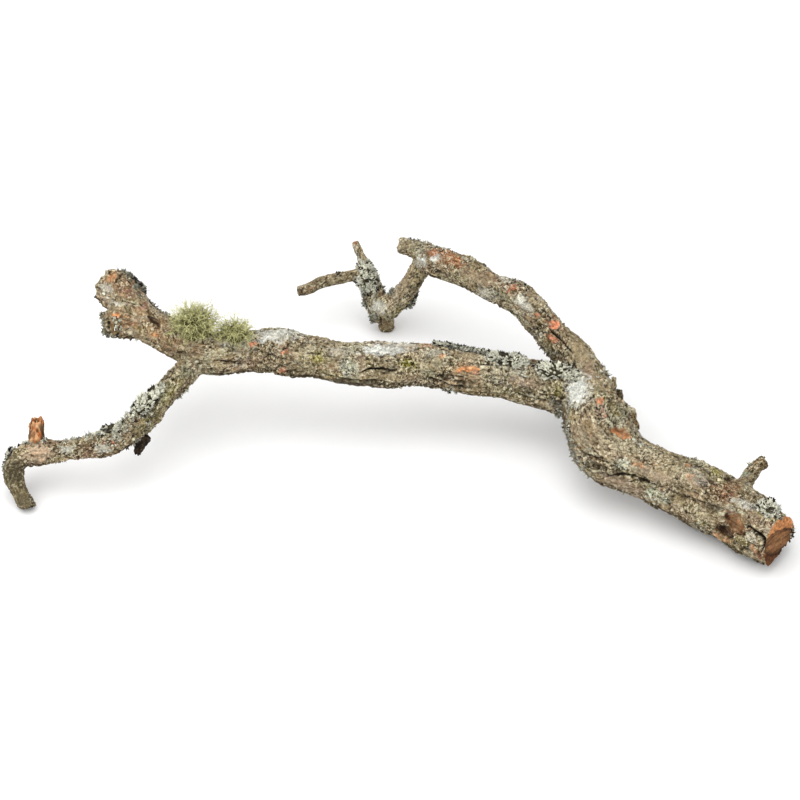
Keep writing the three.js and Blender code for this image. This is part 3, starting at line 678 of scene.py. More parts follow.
def new_piece(name, points, faces, material, colours, smooth=True, normals=None, fibre=None):
    """One piece of the branch, with its colours and the run of its grain (in mm).

    The fourth channel of a colour, 1 if there is none, is how chipped the surface is.
    """
    mesh = new_mesh(name, points, faces)
    if colours.shape[1] == 3:
        colours = np.hstack([colours, np.ones((len(colours), 1))])
    tint = mesh.color_attributes.new("tint", "FLOAT_COLOR", "POINT")
    tint.data.foreach_set("color", colours.ravel())
    run = mesh.attributes.new("fibre", "FLOAT_VECTOR", "POINT")
    run.data.foreach_set("vector", np.asarray(points if fibre is None else fibre).ravel())
    mesh.materials.append(material)
    if smooth:
        mesh.shade_smooth()
    else:
        mesh.shade_flat()
    if normals is not None:
        mesh.normals_split_custom_set_from_vertices(normals.tolist())
    piece = placed(name, mesh)
    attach(piece, BODY)
    return piece


def remeshed(points, faces, voxel, rounds=0):
    """The outer skin of overlapping closed meshes, in even quads and smoothed."""
    mesh = new_mesh("remesh_source", points, faces)
    source = placed("remesh_source", mesh)
    remesh = source.modifiers.new("skin", "REMESH")
    remesh.mode = "VOXEL"
    remesh.voxel_size = voxel * MM
    remesh.use_smooth_shade = True
    made = source.evaluated_get(bpy.context.evaluated_depsgraph_get()).to_mesh()
    places = np.empty(len(made.vertices) * 3)
    made.vertices.foreach_get("co", places)
    corners = np.empty(len(made.loops), int)
    made.loops.foreach_get("vertex_index", corners)
    source.to_mesh_clear()
    bpy.data.objects.remove(source)
    bpy.data.meshes.remove(mesh)
    skin = Skin(places.reshape(-1, 3) / MM, corners.reshape(-1, 4))
    skin.points = skin.smoothed(skin.points, rounds)
    return skin


def summed(owners, values, count):
    """The sum of the rows of values that each of so many owners has."""
    return np.stack([np.bincount(owners, column, count) for column in values.T], axis=1)


class Skin:
    """A quad surface whose points can be smoothed, pushed and coloured together."""

    def __init__(self, points, quads):
        self.points = points
        self.quads = quads
        edges = np.vstack([quads[:, [k, (k + 1) % 4]] for k in range(4)])
        self.edges = np.unique(np.sort(edges, axis=1), axis=0)
        self.degree = np.bincount(self.edges.ravel(), minlength=len(points))

    def spread(self, values):
        """The average of each point's neighbours."""
        a, b = self.edges.T
        many = values.reshape(len(values), -1)
        total = summed(a, many[b], len(many)) + summed(b, many[a], len(many))
        return (total / self.degree[:, None]).reshape(values.shape)

    def smoothed(self, values, rounds):
        """Values of the points, each moved half way to its neighbours' so many times."""
        for _ in range(rounds):
            values = values + 0.5 * (self.spread(values) - values)
        return values

    def normals(self):
        """Each point's outward direction."""
        p = self.points[self.quads]
        ways = np.cross(p[:, 2] - p[:, 0], p[:, 3] - p[:, 1])
        return unit(sum(summed(self.quads[:, k], ways, len(self.points)) for k in range(4)))

    def push(self, height):
        """Moves each point outwards."""
        self.points = self.points + self.normals() * height[:, None]

    def tree(self):
        """What a ray can be cast at."""
        return BVHTree.FromPolygons(self.points.tolist(), self.quads.tolist())


LIMB_REACH = 60.0  # a point further than this from a spine's box isn't on its limb, mm
FORK_BLEND = (5.0, 0.5)  # where two limbs' surfaces are this far apart, forked goes from 0 to 1
AT_ONCE = 20000  # points that are measured together, to save memory


def grain(points, spines):
    """Each point's limb, its place along and across it, the radius there and how forked it is."""
    count = len(points)
    best = np.full(count, np.inf)
    second = np.full(count, np.inf)
    limb = np.zeros(count, int)
    place = np.zeros((count, 3))
    radius = np.zeros(count)
    for number, spine in enumerate(spines.values()):
        low = spine["centre"].min(axis=0) - LIMB_REACH
        high = spine["centre"].max(axis=0) + LIMB_REACH
        near = np.flatnonzero(np.all((points > low) & (points < high), axis=1))
        for part in np.array_split(near, max(1, len(near) // AT_ONCE)):
            gap = points[part][:, None, :] - spine["centre"][None, :, :]
            distance = np.sqrt((gap**2).sum(axis=2)) - spine["radius"][None, :]
            at = distance.argmin(axis=1)
            depth = distance[np.arange(len(part)), at]
            closer = depth < best[part]
            second[part] = np.where(closer, best[part], np.minimum(second[part], depth))
            mine = part[closer]
            at = at[closer]
            offset = points[mine] - spine["centre"][at]
            along = spine["along"][at] + (offset * spine["forward"][at]).sum(axis=1)
            up = (offset * spine["up"][at]).sum(axis=1)
            side = (offset * spine["side"][at]).sum(axis=1)
            best[mine] = depth[closer]
            limb[mine] = number
            place[mine] = np.stack([along, up, side], axis=1)
            radius[mine] = spine["radius"][at]
    return limb, place, radius, ramp(*FORK_BLEND, second - best)


WOOD_VOXEL = 1.15  # mm
FULL_RELIEF_RADIUS = 20.0  # thinner limbs have finer bark, mm


def wood_skin(spines):
    """The skin of all the limbs together, with the butt cut off flat."""
    tubes = []
    for number, (name, spine) in enumerate(spines.items()):
        points, faces = tube(spine, name in JAGGED_ENDS, number)
        if name == "trunk":
            planes = [(np.array(place) + DRAWN_FROM, way) for place, way in (BUTT_CUT, BUTT_BEVEL)]
            points, faces = cut_by(points, faces, planes)
        tubes.append((points, faces))
    return remeshed(*joined(tubes), WOOD_VOXEL, 4)


CUT_FADE = (-1.9, -0.7)  # this far from the saw cut, a point's share in it goes from 0 to 1, mm


def on_cut_face(points):
    """How much each point belongs to the sawn butt face."""
    place, way = BUTT_CUT
    off = (points - (np.array(place) + DRAWN_FROM)) @ unit(np.array(way))
    return ramp(*CUT_FADE, off)


LIMB_APART = np.array([613.0, 71.0, 37.0])  # so that no two limbs have the same bark


def bark_relief(place, radius, limb):
    """The height of the bark, mm, how deep in its gaps each point is, and the tone of its plate."""
    size = np.clip(radius / FULL_RELIEF_RADIUS, 0.35, 1.0)
    scale = (0.45 + 0.55 * size)[:, None]
    here = (place + limb[:, None] * LIMB_APART) / scale
    bend = np.stack([noise(here / 7, seed) for seed in (15, 16, 17)], axis=1)
    swell = 0.8 * noise(here / [22, 10, 10], 2)
    furrow = 1 - np.abs(layered(here / [24, 6.0, 6.0], 11, 2))
    wrinkle = 1 - np.abs(noise(here / [7.5, 3.0, 3.0], 14))
    plate_edge, plate = cracked((here + 3.2 * bend) / [25, 11, 11], 25)
    plated = ramp(-0.25, 0.15, noise(here / [55, 28, 28], 35))
    border, number = cracked((here + 1.2 * bend) / [11, 5.6, 5.6], 21)
    flaky = ramp(-0.35, 0.15, noise(here / [34, 16, 16], 31))
    gap = plated * ramp(0.13, 0.0, plate_edge)
    plates = plated * 1.5 * (plate - 0.5) - 1.7 * gap
    scaly = flaky * (1.0 * (number - 0.5) - 0.9 * ramp(0.2, 0.0, border))
    grit = 0.55 * noise(here / 3.0, 41) + 0.35 * noise(here / 1.6, 42)
    wart = 1.3 * ramp(0.62, 0.9, noise(here / 5.5, 43))
    height = size * (swell - 1.9 * furrow**6 - 0.9 * wrinkle**4 + plates + scaly + grit + wart)
    deep = np.clip(0.85 * gap + 0.8 * furrow**9, 0, 1)
    return height, deep, 1 + plated * 0.42 * (plate - 0.5)


def bark_colour(points, fibre, normals, relief, deep, plate_tone):
    """Grey-tan bark with pinkish and olive parts, crusts and pale flecks; painted shade darkens its
    undersides, its low spots and its gaps, and the pale flecks lean to raised bark as a painted
    highlight.
    """
    colour = plain("grey_tan", len(points))
    colour = mix(colour, "pink_tan", ramp(-0.1, 0.6, layered(fibre / [30, 14, 14], 51)))
    colour = mix(colour, "olive", 0.6 * ramp(0.0, 0.5, layered(fibre / [24, 12, 12], 54)))
    colour = mix(colour, "umber", 0.7 * ramp(0.1, 0.6, layered(fibre / [12, 5, 5], 57)))
    # Painted shade: the bark turns towards umber and then near-black as its surface turns downwards.
    under = ramp(0.1, -0.7, normals[:, 2])
    colour = mix(colour, "umber", 0.7 * under) * plate_tone[:, None]
    colour = mix(colour, "deep_shade", 0.72 * ramp(-0.15, -0.75, normals[:, 2]))
    crust = layered(points / 17, 61, 3) + 0.5 * noise(points / 3.2, 65) - 0.55 * under
    colour = mix(colour, "white_crust", 0.3 * ramp(0.2, 0.5, crust))
    green = layered(points / 21, 71, 3) + 0.6 * noise(points / 2.8, 75)
    colour = mix(colour, "mint", 0.28 * ramp(0.25, 0.6, green))
    pale_part = layered(points / 26, 67, 2)
    colour = colour * (1 + 0.3 * ramp(0.0, 0.6, pale_part) - 0.15 * ramp(0.0, -0.6, pale_part))[:, None]
    rust = noise(points / 9, 81) + 0.4 * noise(points / 2.5, 82)
    colour = mix(colour, "orange_wood", 0.4 * ramp(0.95, 1.2, rust))
    # Pale flecks, most on raised bark: partly real flecks, partly a painted highlight on the ridges.
    fleck_and_highlight = noise(points / 2.6, 91) + 0.5 * noise(points / 1.5, 93) + 0.6 * relief
    colour = mix(colour, "light_fleck", 0.7 * ramp(0.35, 0.9, fleck_and_highlight))
    # Painted shade: dark specks, most where the bark lies low.
    dark = noise(points / 2.7, 92) + 0.5 * noise(fibre / [4.0, 1.4, 1.4], 94) + 0.9 * relief
    colour = mix(colour, "deep_shade", 0.9 * ramp(-0.45, -1.05, dark))
    # Painted shade in the gaps between plates and along the furrows.
    broken = 0.55 + 0.45 * ramp(-0.5, 0.3, noise(points / 2.4, 95))
    return mix(colour, "deep_shade", 0.95 * deep * broken)


# Marks under which the bark is calm, marks that fade out softly and marks with torn edges.
SMOOTH_MARKS = (
    "white_crust", "orange_wood", "red_orange", "peeled", "mauve", "smooth_brown", "twig_olive",
)
SOFT_MARKS = {
    "mint", "yellow_green", "mauve", "smooth_brown", "twig_olive", "stub_brown", "pale_bark",
    "dark_bark",
}
TORN_MARKS = {"orange_wood", "red_orange", "pink_wood"}
HARD_FADE, SOFT_FADE = (1.25, 0.75), (1.35, 0.3)
RAGGED, HOLE_RAGGED, TORN_RAGGED = 0.45, 0.5, 0.9  # how uneven a mark's edge is
TORN_DEPTH = 2.6  # a hollow this deep has a torn, pale rim, mm

# Splits on the sides that the photograph doesn't show: how many, and their reach and depth.
HIDDEN_SPLITS, HIDDEN_REACH, HIDDEN_DEPTH = 150, 15.0, 1.4


class Marks:
    """The places of the photograph's marks on the wood, found through their pixels."""

    def __init__(self, skin):
        self.points = skin.points
        self.pixels = project(skin.points)
        self.tree = skin.tree()

    def near(self, middle, reach):
        """The numbers of the points that are close to a place."""
        return np.flatnonzero(((self.points - middle) ** 2).sum(axis=1) < reach**2)

    def patch(self, mark, ragged=RAGGED, fade=HARD_FADE):
        """How much each point belongs to a mark that a pixel ellipse gives."""
        share = np.zeros(len(self.points))
        hit = seen_at(self.tree, *mark[:2])
        if hit is None:
            return share
        near = self.near(hit[0], 1.6 * max(mark[2:4]) + 4)
        here = self.points[near]
        a, b = in_ellipse([axis[near] for axis in self.pixels], *mark)
        rough = ragged * (noise(here / 3.1, 101) + 0.6 * noise(here / 1.5, 102))
        share[near] = ramp(*fade, np.hypot(a, b) + rough)
        return share

    def crack(self, route, width):
        """How near each point is to a crack's route, from 1 on it to 0 beside it."""
        hits = [seen_at(self.tree, x, y) for x, y in route]
        line = np.array([hit[0] for hit in hits if hit is not None])
        share = np.zeros(len(self.points))
        if len(line) < 2:
            return share
        middle = line.mean(axis=0)
        near = self.near(middle, np.linalg.norm(line - middle, axis=1).max() + 10)
        here = self.points[near]
        length = path_lengths(line)
        best = np.full(len(near), np.inf)
        gone = np.zeros(len(near))
        for k in range(len(line) - 1):
            way = line[k + 1] - line[k]
            t = np.clip(((here - line[k]) @ way) / (way @ way), 0, 1)
            off = np.linalg.norm(here - line[k] - t[:, None] * way, axis=1)
            closer = off < best
            best = np.where(closer, off, best)
            gone = np.where(closer, length[k] + t * (length[k + 1] - length[k]), gone)
        wander = 0.5 * noise(here / 4, 111) + 0.4 * noise(here / 1.7, 112)
        taper = np.clip(4 * gone / length[-1] * (1 - gone / length[-1]), 0.15, 1) ** 0.5
        share[near] = np.exp(-(((best + wander * 0.8) / (0.5 * width * taper)) ** 2))
        return share

    def calm(self):
        """How calm the bark is at each point, from 0 to 1, under the marks that smooth it."""
        calm = np.zeros(len(self.points))
        for name in SMOOTH_MARKS:
            for *mark, strength in PATCHES[name]:
                calm = np.maximum(calm, strength * self.patch(mark, fade=SOFT_FADE))
        return calm

    def carve(self, height, normals):
        """Cuts cracks, holes and splits into the height; returns the cracks and the holes."""
        # Each crack's darkness is painted shade in the split.
        cracks = np.zeros(len(height))
        for width, depth, darkness, route in CRACKS:
            share = self.crack(route, width)
            height -= depth * share
            cracks = np.maximum(cracks, darkness * share)
        holes = []
        for *mark, depth, name in HOLES:
            share = self.patch(mark, HOLE_RAGGED)
            height -= depth * share
            holes.append((share, name, depth))

        rng = np.random.default_rng(5)
        unseen = np.flatnonzero(normals @ TO_CAMERA < 0.05)
        for middle in self.points[rng.choice(unseen, HIDDEN_SPLITS, replace=False)]:
            near = self.near(middle, HIDDEN_REACH)
            across = noise(self.points[near] / 6, int(rng.integers(1000)))
            away = np.linalg.norm(self.points[near] - middle, axis=1)
            share = np.exp(-((across / 0.16) ** 2)) * ramp(HIDDEN_REACH - 1, 7, away)
            height[near] -= HIDDEN_DEPTH * share
            cracks[near] = np.maximum(cracks[near], 0.8 * share)
        return cracks, holes

    def paint(self, colour, fibre, raised):
        """Colours with every patch laid over them, most where the bark is raised."""
        speckle = 0.35 + 0.65 * ramp(-0.9, 0.1, noise(self.points / 1.7, 121) + 0.4 * raised)
        streaky = 1 + 0.3 * noise(fibre / [9, 1.7, 1.7], 123) + 0.25 * noise(self.points / 3, 124)
        uneven = self.uneven()
        for name, marks in PATCHES.items():
            fade = SOFT_FADE if name in SOFT_MARKS else HARD_FADE
            torn = name in TORN_MARKS
            for *mark, strength in marks:
                share = self.patch(mark, TORN_RAGGED if torn else RAGGED, fade)
                shade = linear(name) * (uneven if torn else streaky)[:, None]
                colour = blend(colour, shade, strength * share * speckle)
        return colour

    def paint_holes(self, colour, place, holes):
        """Colours with the bare wood of the holes and the painted shadow in them, and a pale rim round
        the deepest ones.
        """
        streaks = 0.75 + 0.35 * noise(place / [6, 1.1, 1.1], 131)
        uneven = self.uneven()
        for share, name, depth in holes:
            if depth >= TORN_DEPTH:
                rim = ramp(0.02, 0.2, share) * ramp(0.6, 0.35, share)
                colour = blend(colour, linear("tan") * 1.15, 0.85 * rim)
            shade = linear(name) * (1.3 * uneven)[:, None]
            colour = blend(colour, shade, ramp(0.35, 0.6, share) * np.clip(streaks, 0, 1))
        return colour

    def uneven(self):
        """The shade of torn wood, which is lighter and darker from point to point."""
        return 0.5 + 0.75 * ramp(-0.6, 0.6, noise(self.points / 2.3, 122))


def wood_surface(spines):
    """The finished wood: skin, colours, run of the grain and each point's node, by number."""
    skin = wood_skin(spines)
    limb, place, radius, forked = grain(skin.points, spines)
    normals = skin.normals()
    marks = Marks(skin)
    cut = on_cut_face(skin.points)

    fibre = place + limb[:, None] * LIMB_APART
    height, deep, plate_tone = bark_relief(place, radius, limb)
    soft = skin.smoothed(height, 6)
    calm = marks.calm()
    height = (height + forked * (soft - height)) * (1 - 0.7 * calm)
    deep = deep * (1 - 0.85 * calm) * (1 - forked)
    cracks, holes = marks.carve(height, normals)

    relief = height - skin.smoothed(height, 5)
    colour = bark_colour(skin.points, fibre, normals, relief, deep, plate_tone)
    colour = marks.paint(colour, fibre, height - soft)
    colour = marks.paint_holes(colour, place, holes)
    # Painted shade: the cracks and splits are darkened towards near-black.
    colour = blend(colour, linear("deep_shade") * 0.45, 0.95 * ramp(0.25, 0.75, cracks))
    height, colour = butt_face(skin.points, marks.pixels, cut, height, colour)

    chipped = np.minimum(1 - 0.6 * calm, 1 - 0.9 * cut)
    for share, _, _ in holes:
        chipped = np.minimum(chipped, 1 - 0.9 * ramp(0.1, 0.5, share))
    skin.points = skin.points + normals * height[:, None]
    skin.points[:, 2] = np.maximum(skin.points[:, 2], 0.0)
    nodes = list(dict.fromkeys(NODE_OF_LIMB.values()))
    owner = np.array([nodes.index(NODE_OF_LIMB[spine]) for spine in spines])[limb]
    colour = np.hstack([np.clip(colour, 0, 1), chipped[:, None]])
    return skin, colour, fibre, owner, nodes


# The butt's heartwood as the photograph shows it: middle, half sizes and tilt.
HEART = (779, 542, 16.5, 9.0, -38)


def butt_face(points, pixels, cut, height, colour):
    """Height and colour with the butt's cut face: ringed heartwood, a painted shadow line where it
    sinks below the rim, and a rim.
    """
    a, b = in_ellipse(pixels, *HEART)
    reach = np.hypot(a, b) + 0.08 * noise(points / 5, 141)
    rings = 0.5 + 0.5 * np.sin(reach * 15 + 3.4 * noise(points / 6, 143))
    streak = ramp(-0.7, 0.7, noise(np.stack([a * 2.2, b * 7.0, 0 * a], axis=1), 144))
    worn = ramp(0.3, 1.0, reach + 0.5 * noise(points / 5, 147))
    wood = mix(plain("cut_light", len(points)), "cut_dark", 0.35 * rings)
    wood = mix(wood, "cut_dark", 0.5 * worn) * (0.5 + 0.9 * streak)[:, None]
    above = ramp(0.3, -0.5, b + 0.3 * noise(points / 4, 142))
    edge = mix(plain("cut_low", len(points)), "cut_rim", above)
    edge = edge * (0.65 + 0.7 * ramp(-0.7, 0.7, noise(points / 2.0, 145)))[:, None]
    outside = ramp(1.0, 1.12, reach)
    face = blend(wood, edge, outside)
    # Painted shadow: a dark line where the sunk heartwood meets the rim.
    face = mix(face, "deep_brown", 0.85 * np.exp(-(((reach - 1.06) / 0.09) ** 2)))
    flat = -1.8 * (1 - outside) + 0.4 * noise(points / 2.4, 146) + 0.3 * rings * (1 - outside)
    return height + cut * (flat - height), blend(colour, face, cut)


def open_loops(quads, count):
    """The open borders of some quads, each as one loop of points."""
    edges = np.vstack([quads[:, [k, (k + 1) % 4]] for k in range(4)])
    there = edges[:, 0] * count + edges[:, 1]
    back = edges[:, 1] * count + edges[:, 0]
    # An edge is open where no other quad uses it the other way round.
    following = {int(b): int(a) for a, b in edges[~np.isin(there, back)]}
    loops = []
    while following:
        start, here = following.popitem()
        loop = [start]
        while here != start and here in following:
            loop.append(here)
            here = following.pop(here)
        loops.append(loop)
    return loops


def split_wood(skin, colour, fibre, owner, nodes, material):
    """One closed piece for each wooden node, cut apart at the forks."""
    normals = skin.normals()
    # A quad whose corners belong to several nodes goes to one of them only.
    chosen = np.sort(owner[skin.quads], axis=1)[:, 1]
    for number, node in enumerate(nodes):
        used, local = np.unique(skin.quads[chosen == number], return_inverse=True)
        local = local.reshape(-1, 4)
        values = [every[used] for every in (skin.points, colour, normals, fibre)]
        faces = local.tolist()
        for loop in open_loops(local, len(used)):
            if len(loop) < 3:
                continue
            middle = len(values[0])
            values = [np.vstack([every, every[loop].mean(axis=0)]) for every in values]
            faces += [(loop[k - 1], loop[k], middle) for k in range(len(loop))]
        points, tint, ways, run = values
        piece = new_piece(
            node + "_bark", points, faces, material, tint, normals=ways, fibre=run
        )
        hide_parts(node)


def shell(top, thickness, rows, columns):
    """A thin closed shell under rows of points: its points and faces, all of them quads."""
    size = rows * columns
    faces = []
    for row in range(rows - 1):
        for column in range(columns - 1):
            a = row * columns + column
            faces.append((a, a + columns, a + columns + 1, a + 1))
            faces.append((a + size, a + 1 + size, a + columns + 1 + size, a + columns + size))
    rim = list(range(columns)) + [columns - 1 + columns * row for row in range(1, rows)]
    rim += [size - 1 - column for column in range(1, columns)]
    rim += [columns * row for row in range(rows - 2, 0, -1)]
    for k, here in enumerate(rim):
        after = rim[(k + 1) % len(rim)]
        faces.append((here, after, after + size, here + size))
    return np.vstack([top, np.array(top) - [0, 0, thickness]]), faces


LEAF_ROWS = ((0.0, 0.5), (0.5, 1.0), (1.0, 0.85))  # share of the length, share of the width
LEAF_THICK = 0.13  # share of the width
LEAF_RUFFLE = 0.14  # how far its points are off, as a share of the width


def leaf_shape():
    """One lobe on a unit scale: points and faces."""
    top = [
        (length - 0.2 * (side == 0) * (length == 1.0), side * width * 0.5, 0.2 * side * side * length)
        for length, width in LEAF_ROWS
        for side in (-1, 0, 1)
    ]
    points, faces = shell(top, LEAF_THICK, len(LEAF_ROWS), 3)
    return points, np.array(faces)


def leaves(origins, normals, headings, lengths, widths, lifts, darkness, rng):
    """Many lobes at once: points, faces and colours."""
    shape, faces = leaf_shape()
    each = len(shape)
    count = len(origins)
    forward = unit(headings - normals * (headings * normals).sum(axis=1)[:, None])
    side = np.cross(normals, forward)
    x = shape[None, :, 0] * lengths[:, None]
    y = shape[None, :, 1] * widths[:, None]
    bend = (shape[None, :, 0] ** 1.5) * (lifts * lengths)[:, None]
    ruffle = rng.uniform(-LEAF_RUFFLE, LEAF_RUFFLE, (count, each // 2))
    z = bend + (shape[None, :, 2] + np.hstack([ruffle, ruffle])) * widths[:, None]
    points = (
        origins[:, None, :]
        + forward[:, None, :] * x[:, :, None]
        + side[:, None, :] * y[:, :, None]
        + normals[:, None, :] * z[:, :, None]
    )
    tone = rng.uniform(0.7, 1.15, count)[:, None, None]
    dark = darkness[:, None]
    top = between("leaf_top", "leaf_dark", dark)
    tip = between("leaf_edge", "leaf_dark", 0.8 * dark)
    share = shape[None, : each // 2, 0, None]
    upper = (top[:, None, :] * (1 - share) * 0.8 + tip[:, None, :] * share) * tone
    lower = np.broadcast_to(linear("leaf_under"), (count, each // 2, 3))
    colours = np.concatenate([upper, lower], axis=1)
    faces = (faces[None, :, :] + (np.arange(count) * each)[:, None, None]).reshape(-1, 4)
    return points.reshape(-1, 3), faces, np.clip(colours.reshape(-1, 3), 0, 1)


def node_surface(node):
    """A CAD node's points, triangles, outward face normals and areas, in millimetres."""
    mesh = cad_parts[node].data
    mesh.calc_loop_triangles()
    points = np.array([v.co[:] for v in mesh.vertices]) / MM
    triangles = np.array([t.vertices[:] for t in mesh.loop_triangles])
    corners = points[triangles]
    ways = np.cross(corners[:, 1] - corners[:, 0], corners[:, 2] - corners[:, 0])
    return points, triangles, unit(ways), np.linalg.norm(ways, axis=1) / 2


def node_skin(node, voxel, rounds=0):
    """A CAD node's form as a smoothed skin, with the lowest and highest corner of its box."""
    points, triangles, _, _ = node_surface(node)
    skin = remeshed(points, triangles.tolist(), voxel, rounds)
    return skin, points.min(axis=0), points.max(axis=0)


LEAF_AREA = 3.1  # square millimetres of cushion to a lobe
BARE_BELOW = -0.3  # where the cushion's own noise is lower than this, few lobes grow
BARE_LOBES = 0.2  # the share of them that grows even there
MOUND_VOXEL = 1.3
CLEAR_ABOVE = 9.0  # a lobe grows only where no wood is this close above it, mm
LEAF_LENGTH, LEAF_WIDTH = (2.2, 4.2), (2.0, 3.8)

# How much darker than the rest a cushion is, how much of it is bare, and its ground's colour, which is
# mostly painted shade between the lobes.
CUSHION_LOOKS = {
    "leafy_lichen_limb_crest": (0.2, 0.0, "lobe_gap_shade"), "leafy_lichen_stub_head": (0.6, 0.0, "lobe_gap_shade"),
    "leafy_lichen_stub_chin": (0.15, 1.3, "twig_brown"), "leafy_lichen_knee": (0.5, 0.0, "lobe_gap_shade"),
    "leafy_lichen_hook": (0.15, 0.1, "lobe_gap_shade"), "leafy_lichen_rising_twig": (0.08, 0.1, "lobe_gap_shade"),
}


def cushion(node, wood_tree, material, rng):
    """A cushion of leafy lichen: a dark ground, which is painted shade between the lobes (brown bark
    where the cushion is bare), and the pale lobes that stand on it.
    """
    darker, bare, ground = CUSHION_LOOKS.get(node, (0.0, 0.0, "lobe_gap_shade"))
    points, triangles, ways, areas = node_surface(node)
    skin = remeshed(points, triangles.tolist(), MOUND_VOXEL, 3)
    lumps = 1.1 * noise(skin.points / 4.4, 151) + 0.6 * noise(skin.points / 2.0, 154) - 0.9
    skin.push(lumps)
    shade = 0.35 + 0.75 * ramp(-0.5, 0.6, noise(skin.points / 2.0, 152))
    # Painted shade: the ground under the lobes is dark, standing in for the shade between them.
    ground_and_gap_shade = linear(ground) * shade[:, None]

    count = int(areas.sum() / LEAF_AREA)
    chosen = rng.choice(len(triangles), count, p=areas / areas.sum())
    u, v = rng.uniform(size=(2, count))
    flip = u + v > 1
    u, v = np.where(flip, 1 - u, u), np.where(flip, 1 - v, v)
    a, b, c = (points[triangles[chosen, k]] for k in range(3))
    places = a + (b - a) * u[:, None] + (c - a) * v[:, None]
    normals = ways[chosen]
    clear = np.array([
        wood_tree.ray_cast(Vector(place + way * 0.6), Vector(way), CLEAR_ABOVE)[0] is None
        for place, way in zip(places, normals)
    ])
    grown = noise(places / 5.5, 155) > BARE_BELOW + bare
    clear &= grown | (rng.uniform(size=count) < BARE_LOBES)
    places, normals = places[clear], normals[clear]
    count = len(places)
    outward = places - places.mean(axis=0) + rng.normal(0, 5, (count, 3))
    patch = ramp(0.1, 0.7, noise(places / 6, 153))
    # Painted shade: lobes darken where the cushion turns away from the camera, at its outlines.
    edge_on_shade = ramp(0.45, 0.0, normals @ TO_CAMERA)
    dark = rng.normal(darker + 0.05, 0.16, count) + 0.35 * patch + 0.45 * edge_on_shade
    more, faces, colours = leaves(
        places - normals * 1.3, normals, outward,
        rng.uniform(*LEAF_LENGTH, count), rng.uniform(*LEAF_WIDTH, count),
        rng.uniform(0.05, 0.7, count), np.clip(dark, 0, 0.95), rng,
    )
    everything, faces, tint = joined([
        (skin.points, skin.quads.tolist(), ground_and_gap_shade), (more, faces.tolist(), colours),
    ])
    piece = new_piece(node + "_lobes", everything, faces, material, tint)
    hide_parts(node)


def sprinkle(tree, material, rng):
    """Thin leafy lichen on the bark, where pixels show it."""
    lobes = []
    for x, y, long, wide, tilt, many, darkness, stand in SPRINKLES:
        turn = math.radians(tilt)
        for _ in range(many):
            r, angle = math.sqrt(rng.uniform()), rng.uniform(0, 2 * math.pi)
            a, b = long * r * math.cos(angle), wide * r * math.sin(angle)
            right = a * math.cos(turn) - b * math.sin(turn)
            down = a * math.sin(turn) + b * math.cos(turn)
            hit = seen_at(tree, x + right, y + down)
            if hit is not None:
                dark = np.clip(rng.normal(darkness, 0.2), 0, 1)
                lobes.append((*hit, dark, rng.uniform(0.2, 1.0) * stand))
    places, normals, dark, lift = (np.array(values) for values in zip(*lobes))
    scatter_leaves("leafy_lichen_sprinkled", places, normals, dark, lift, material, rng)


THIN_LENGTH, THIN_WIDTH = (1.8, 3.8), (1.6, 3.4)  # of lobes outside the cushions, mm


def scatter_leaves(name, places, normals, dark, lift, material, rng):
    """One piece of lobes that lie any way round on the bark."""
    count = len(places)
    points, faces, colours = leaves(
        places - normals * 0.6, normals, rng.normal(0, 1, (count, 3)),
        rng.uniform(*THIN_LENGTH, count), rng.uniform(*THIN_WIDTH, count), lift * 1.2, dark, rng,
    )
    new_piece(name, points, faces, material, colours)


# Tufts on the sides that the photograph doesn't show: how many, their reach, most lobes.
HIDDEN_TUFTS, TUFT_REACH, TUFT_LOBES = 46, (5, 12), 34
TUFT_LOWEST, LOBE_LOWEST = 12, 5  # how high above the ground their middles and lobes are, mm


def hidden_leaves(skin, material, rng):
    """Tufts of leafy lichen on the sides that the photograph doesn't show."""
    normals = skin.normals()
    unseen = np.flatnonzero((normals @ TO_CAMERA < 0.0) & (skin.points[:, 2] > TUFT_LOWEST))
    places, ways = [], []
    for centre in rng.choice(unseen, HIDDEN_TUFTS, replace=False):
        off = np.linalg.norm(skin.points - skin.points[centre], axis=1)
        near = np.flatnonzero((off < rng.uniform(*TUFT_REACH)) & (skin.points[:, 2] > LOBE_LOWEST))
        chosen = rng.choice(near, min(len(near), TUFT_LOBES), replace=False)
        places.append(skin.points[chosen])
        ways.append(normals[chosen])
    places, ways = np.vstack(places), np.vstack(ways)
    dark = np.clip(rng.normal(0.35, 0.25, len(places)), 0, 1)
    lift = rng.uniform(0.1, 0.7, len(places))
    scatter_leaves("leafy_lichen_far_side", places, ways, dark, lift, material, rng)


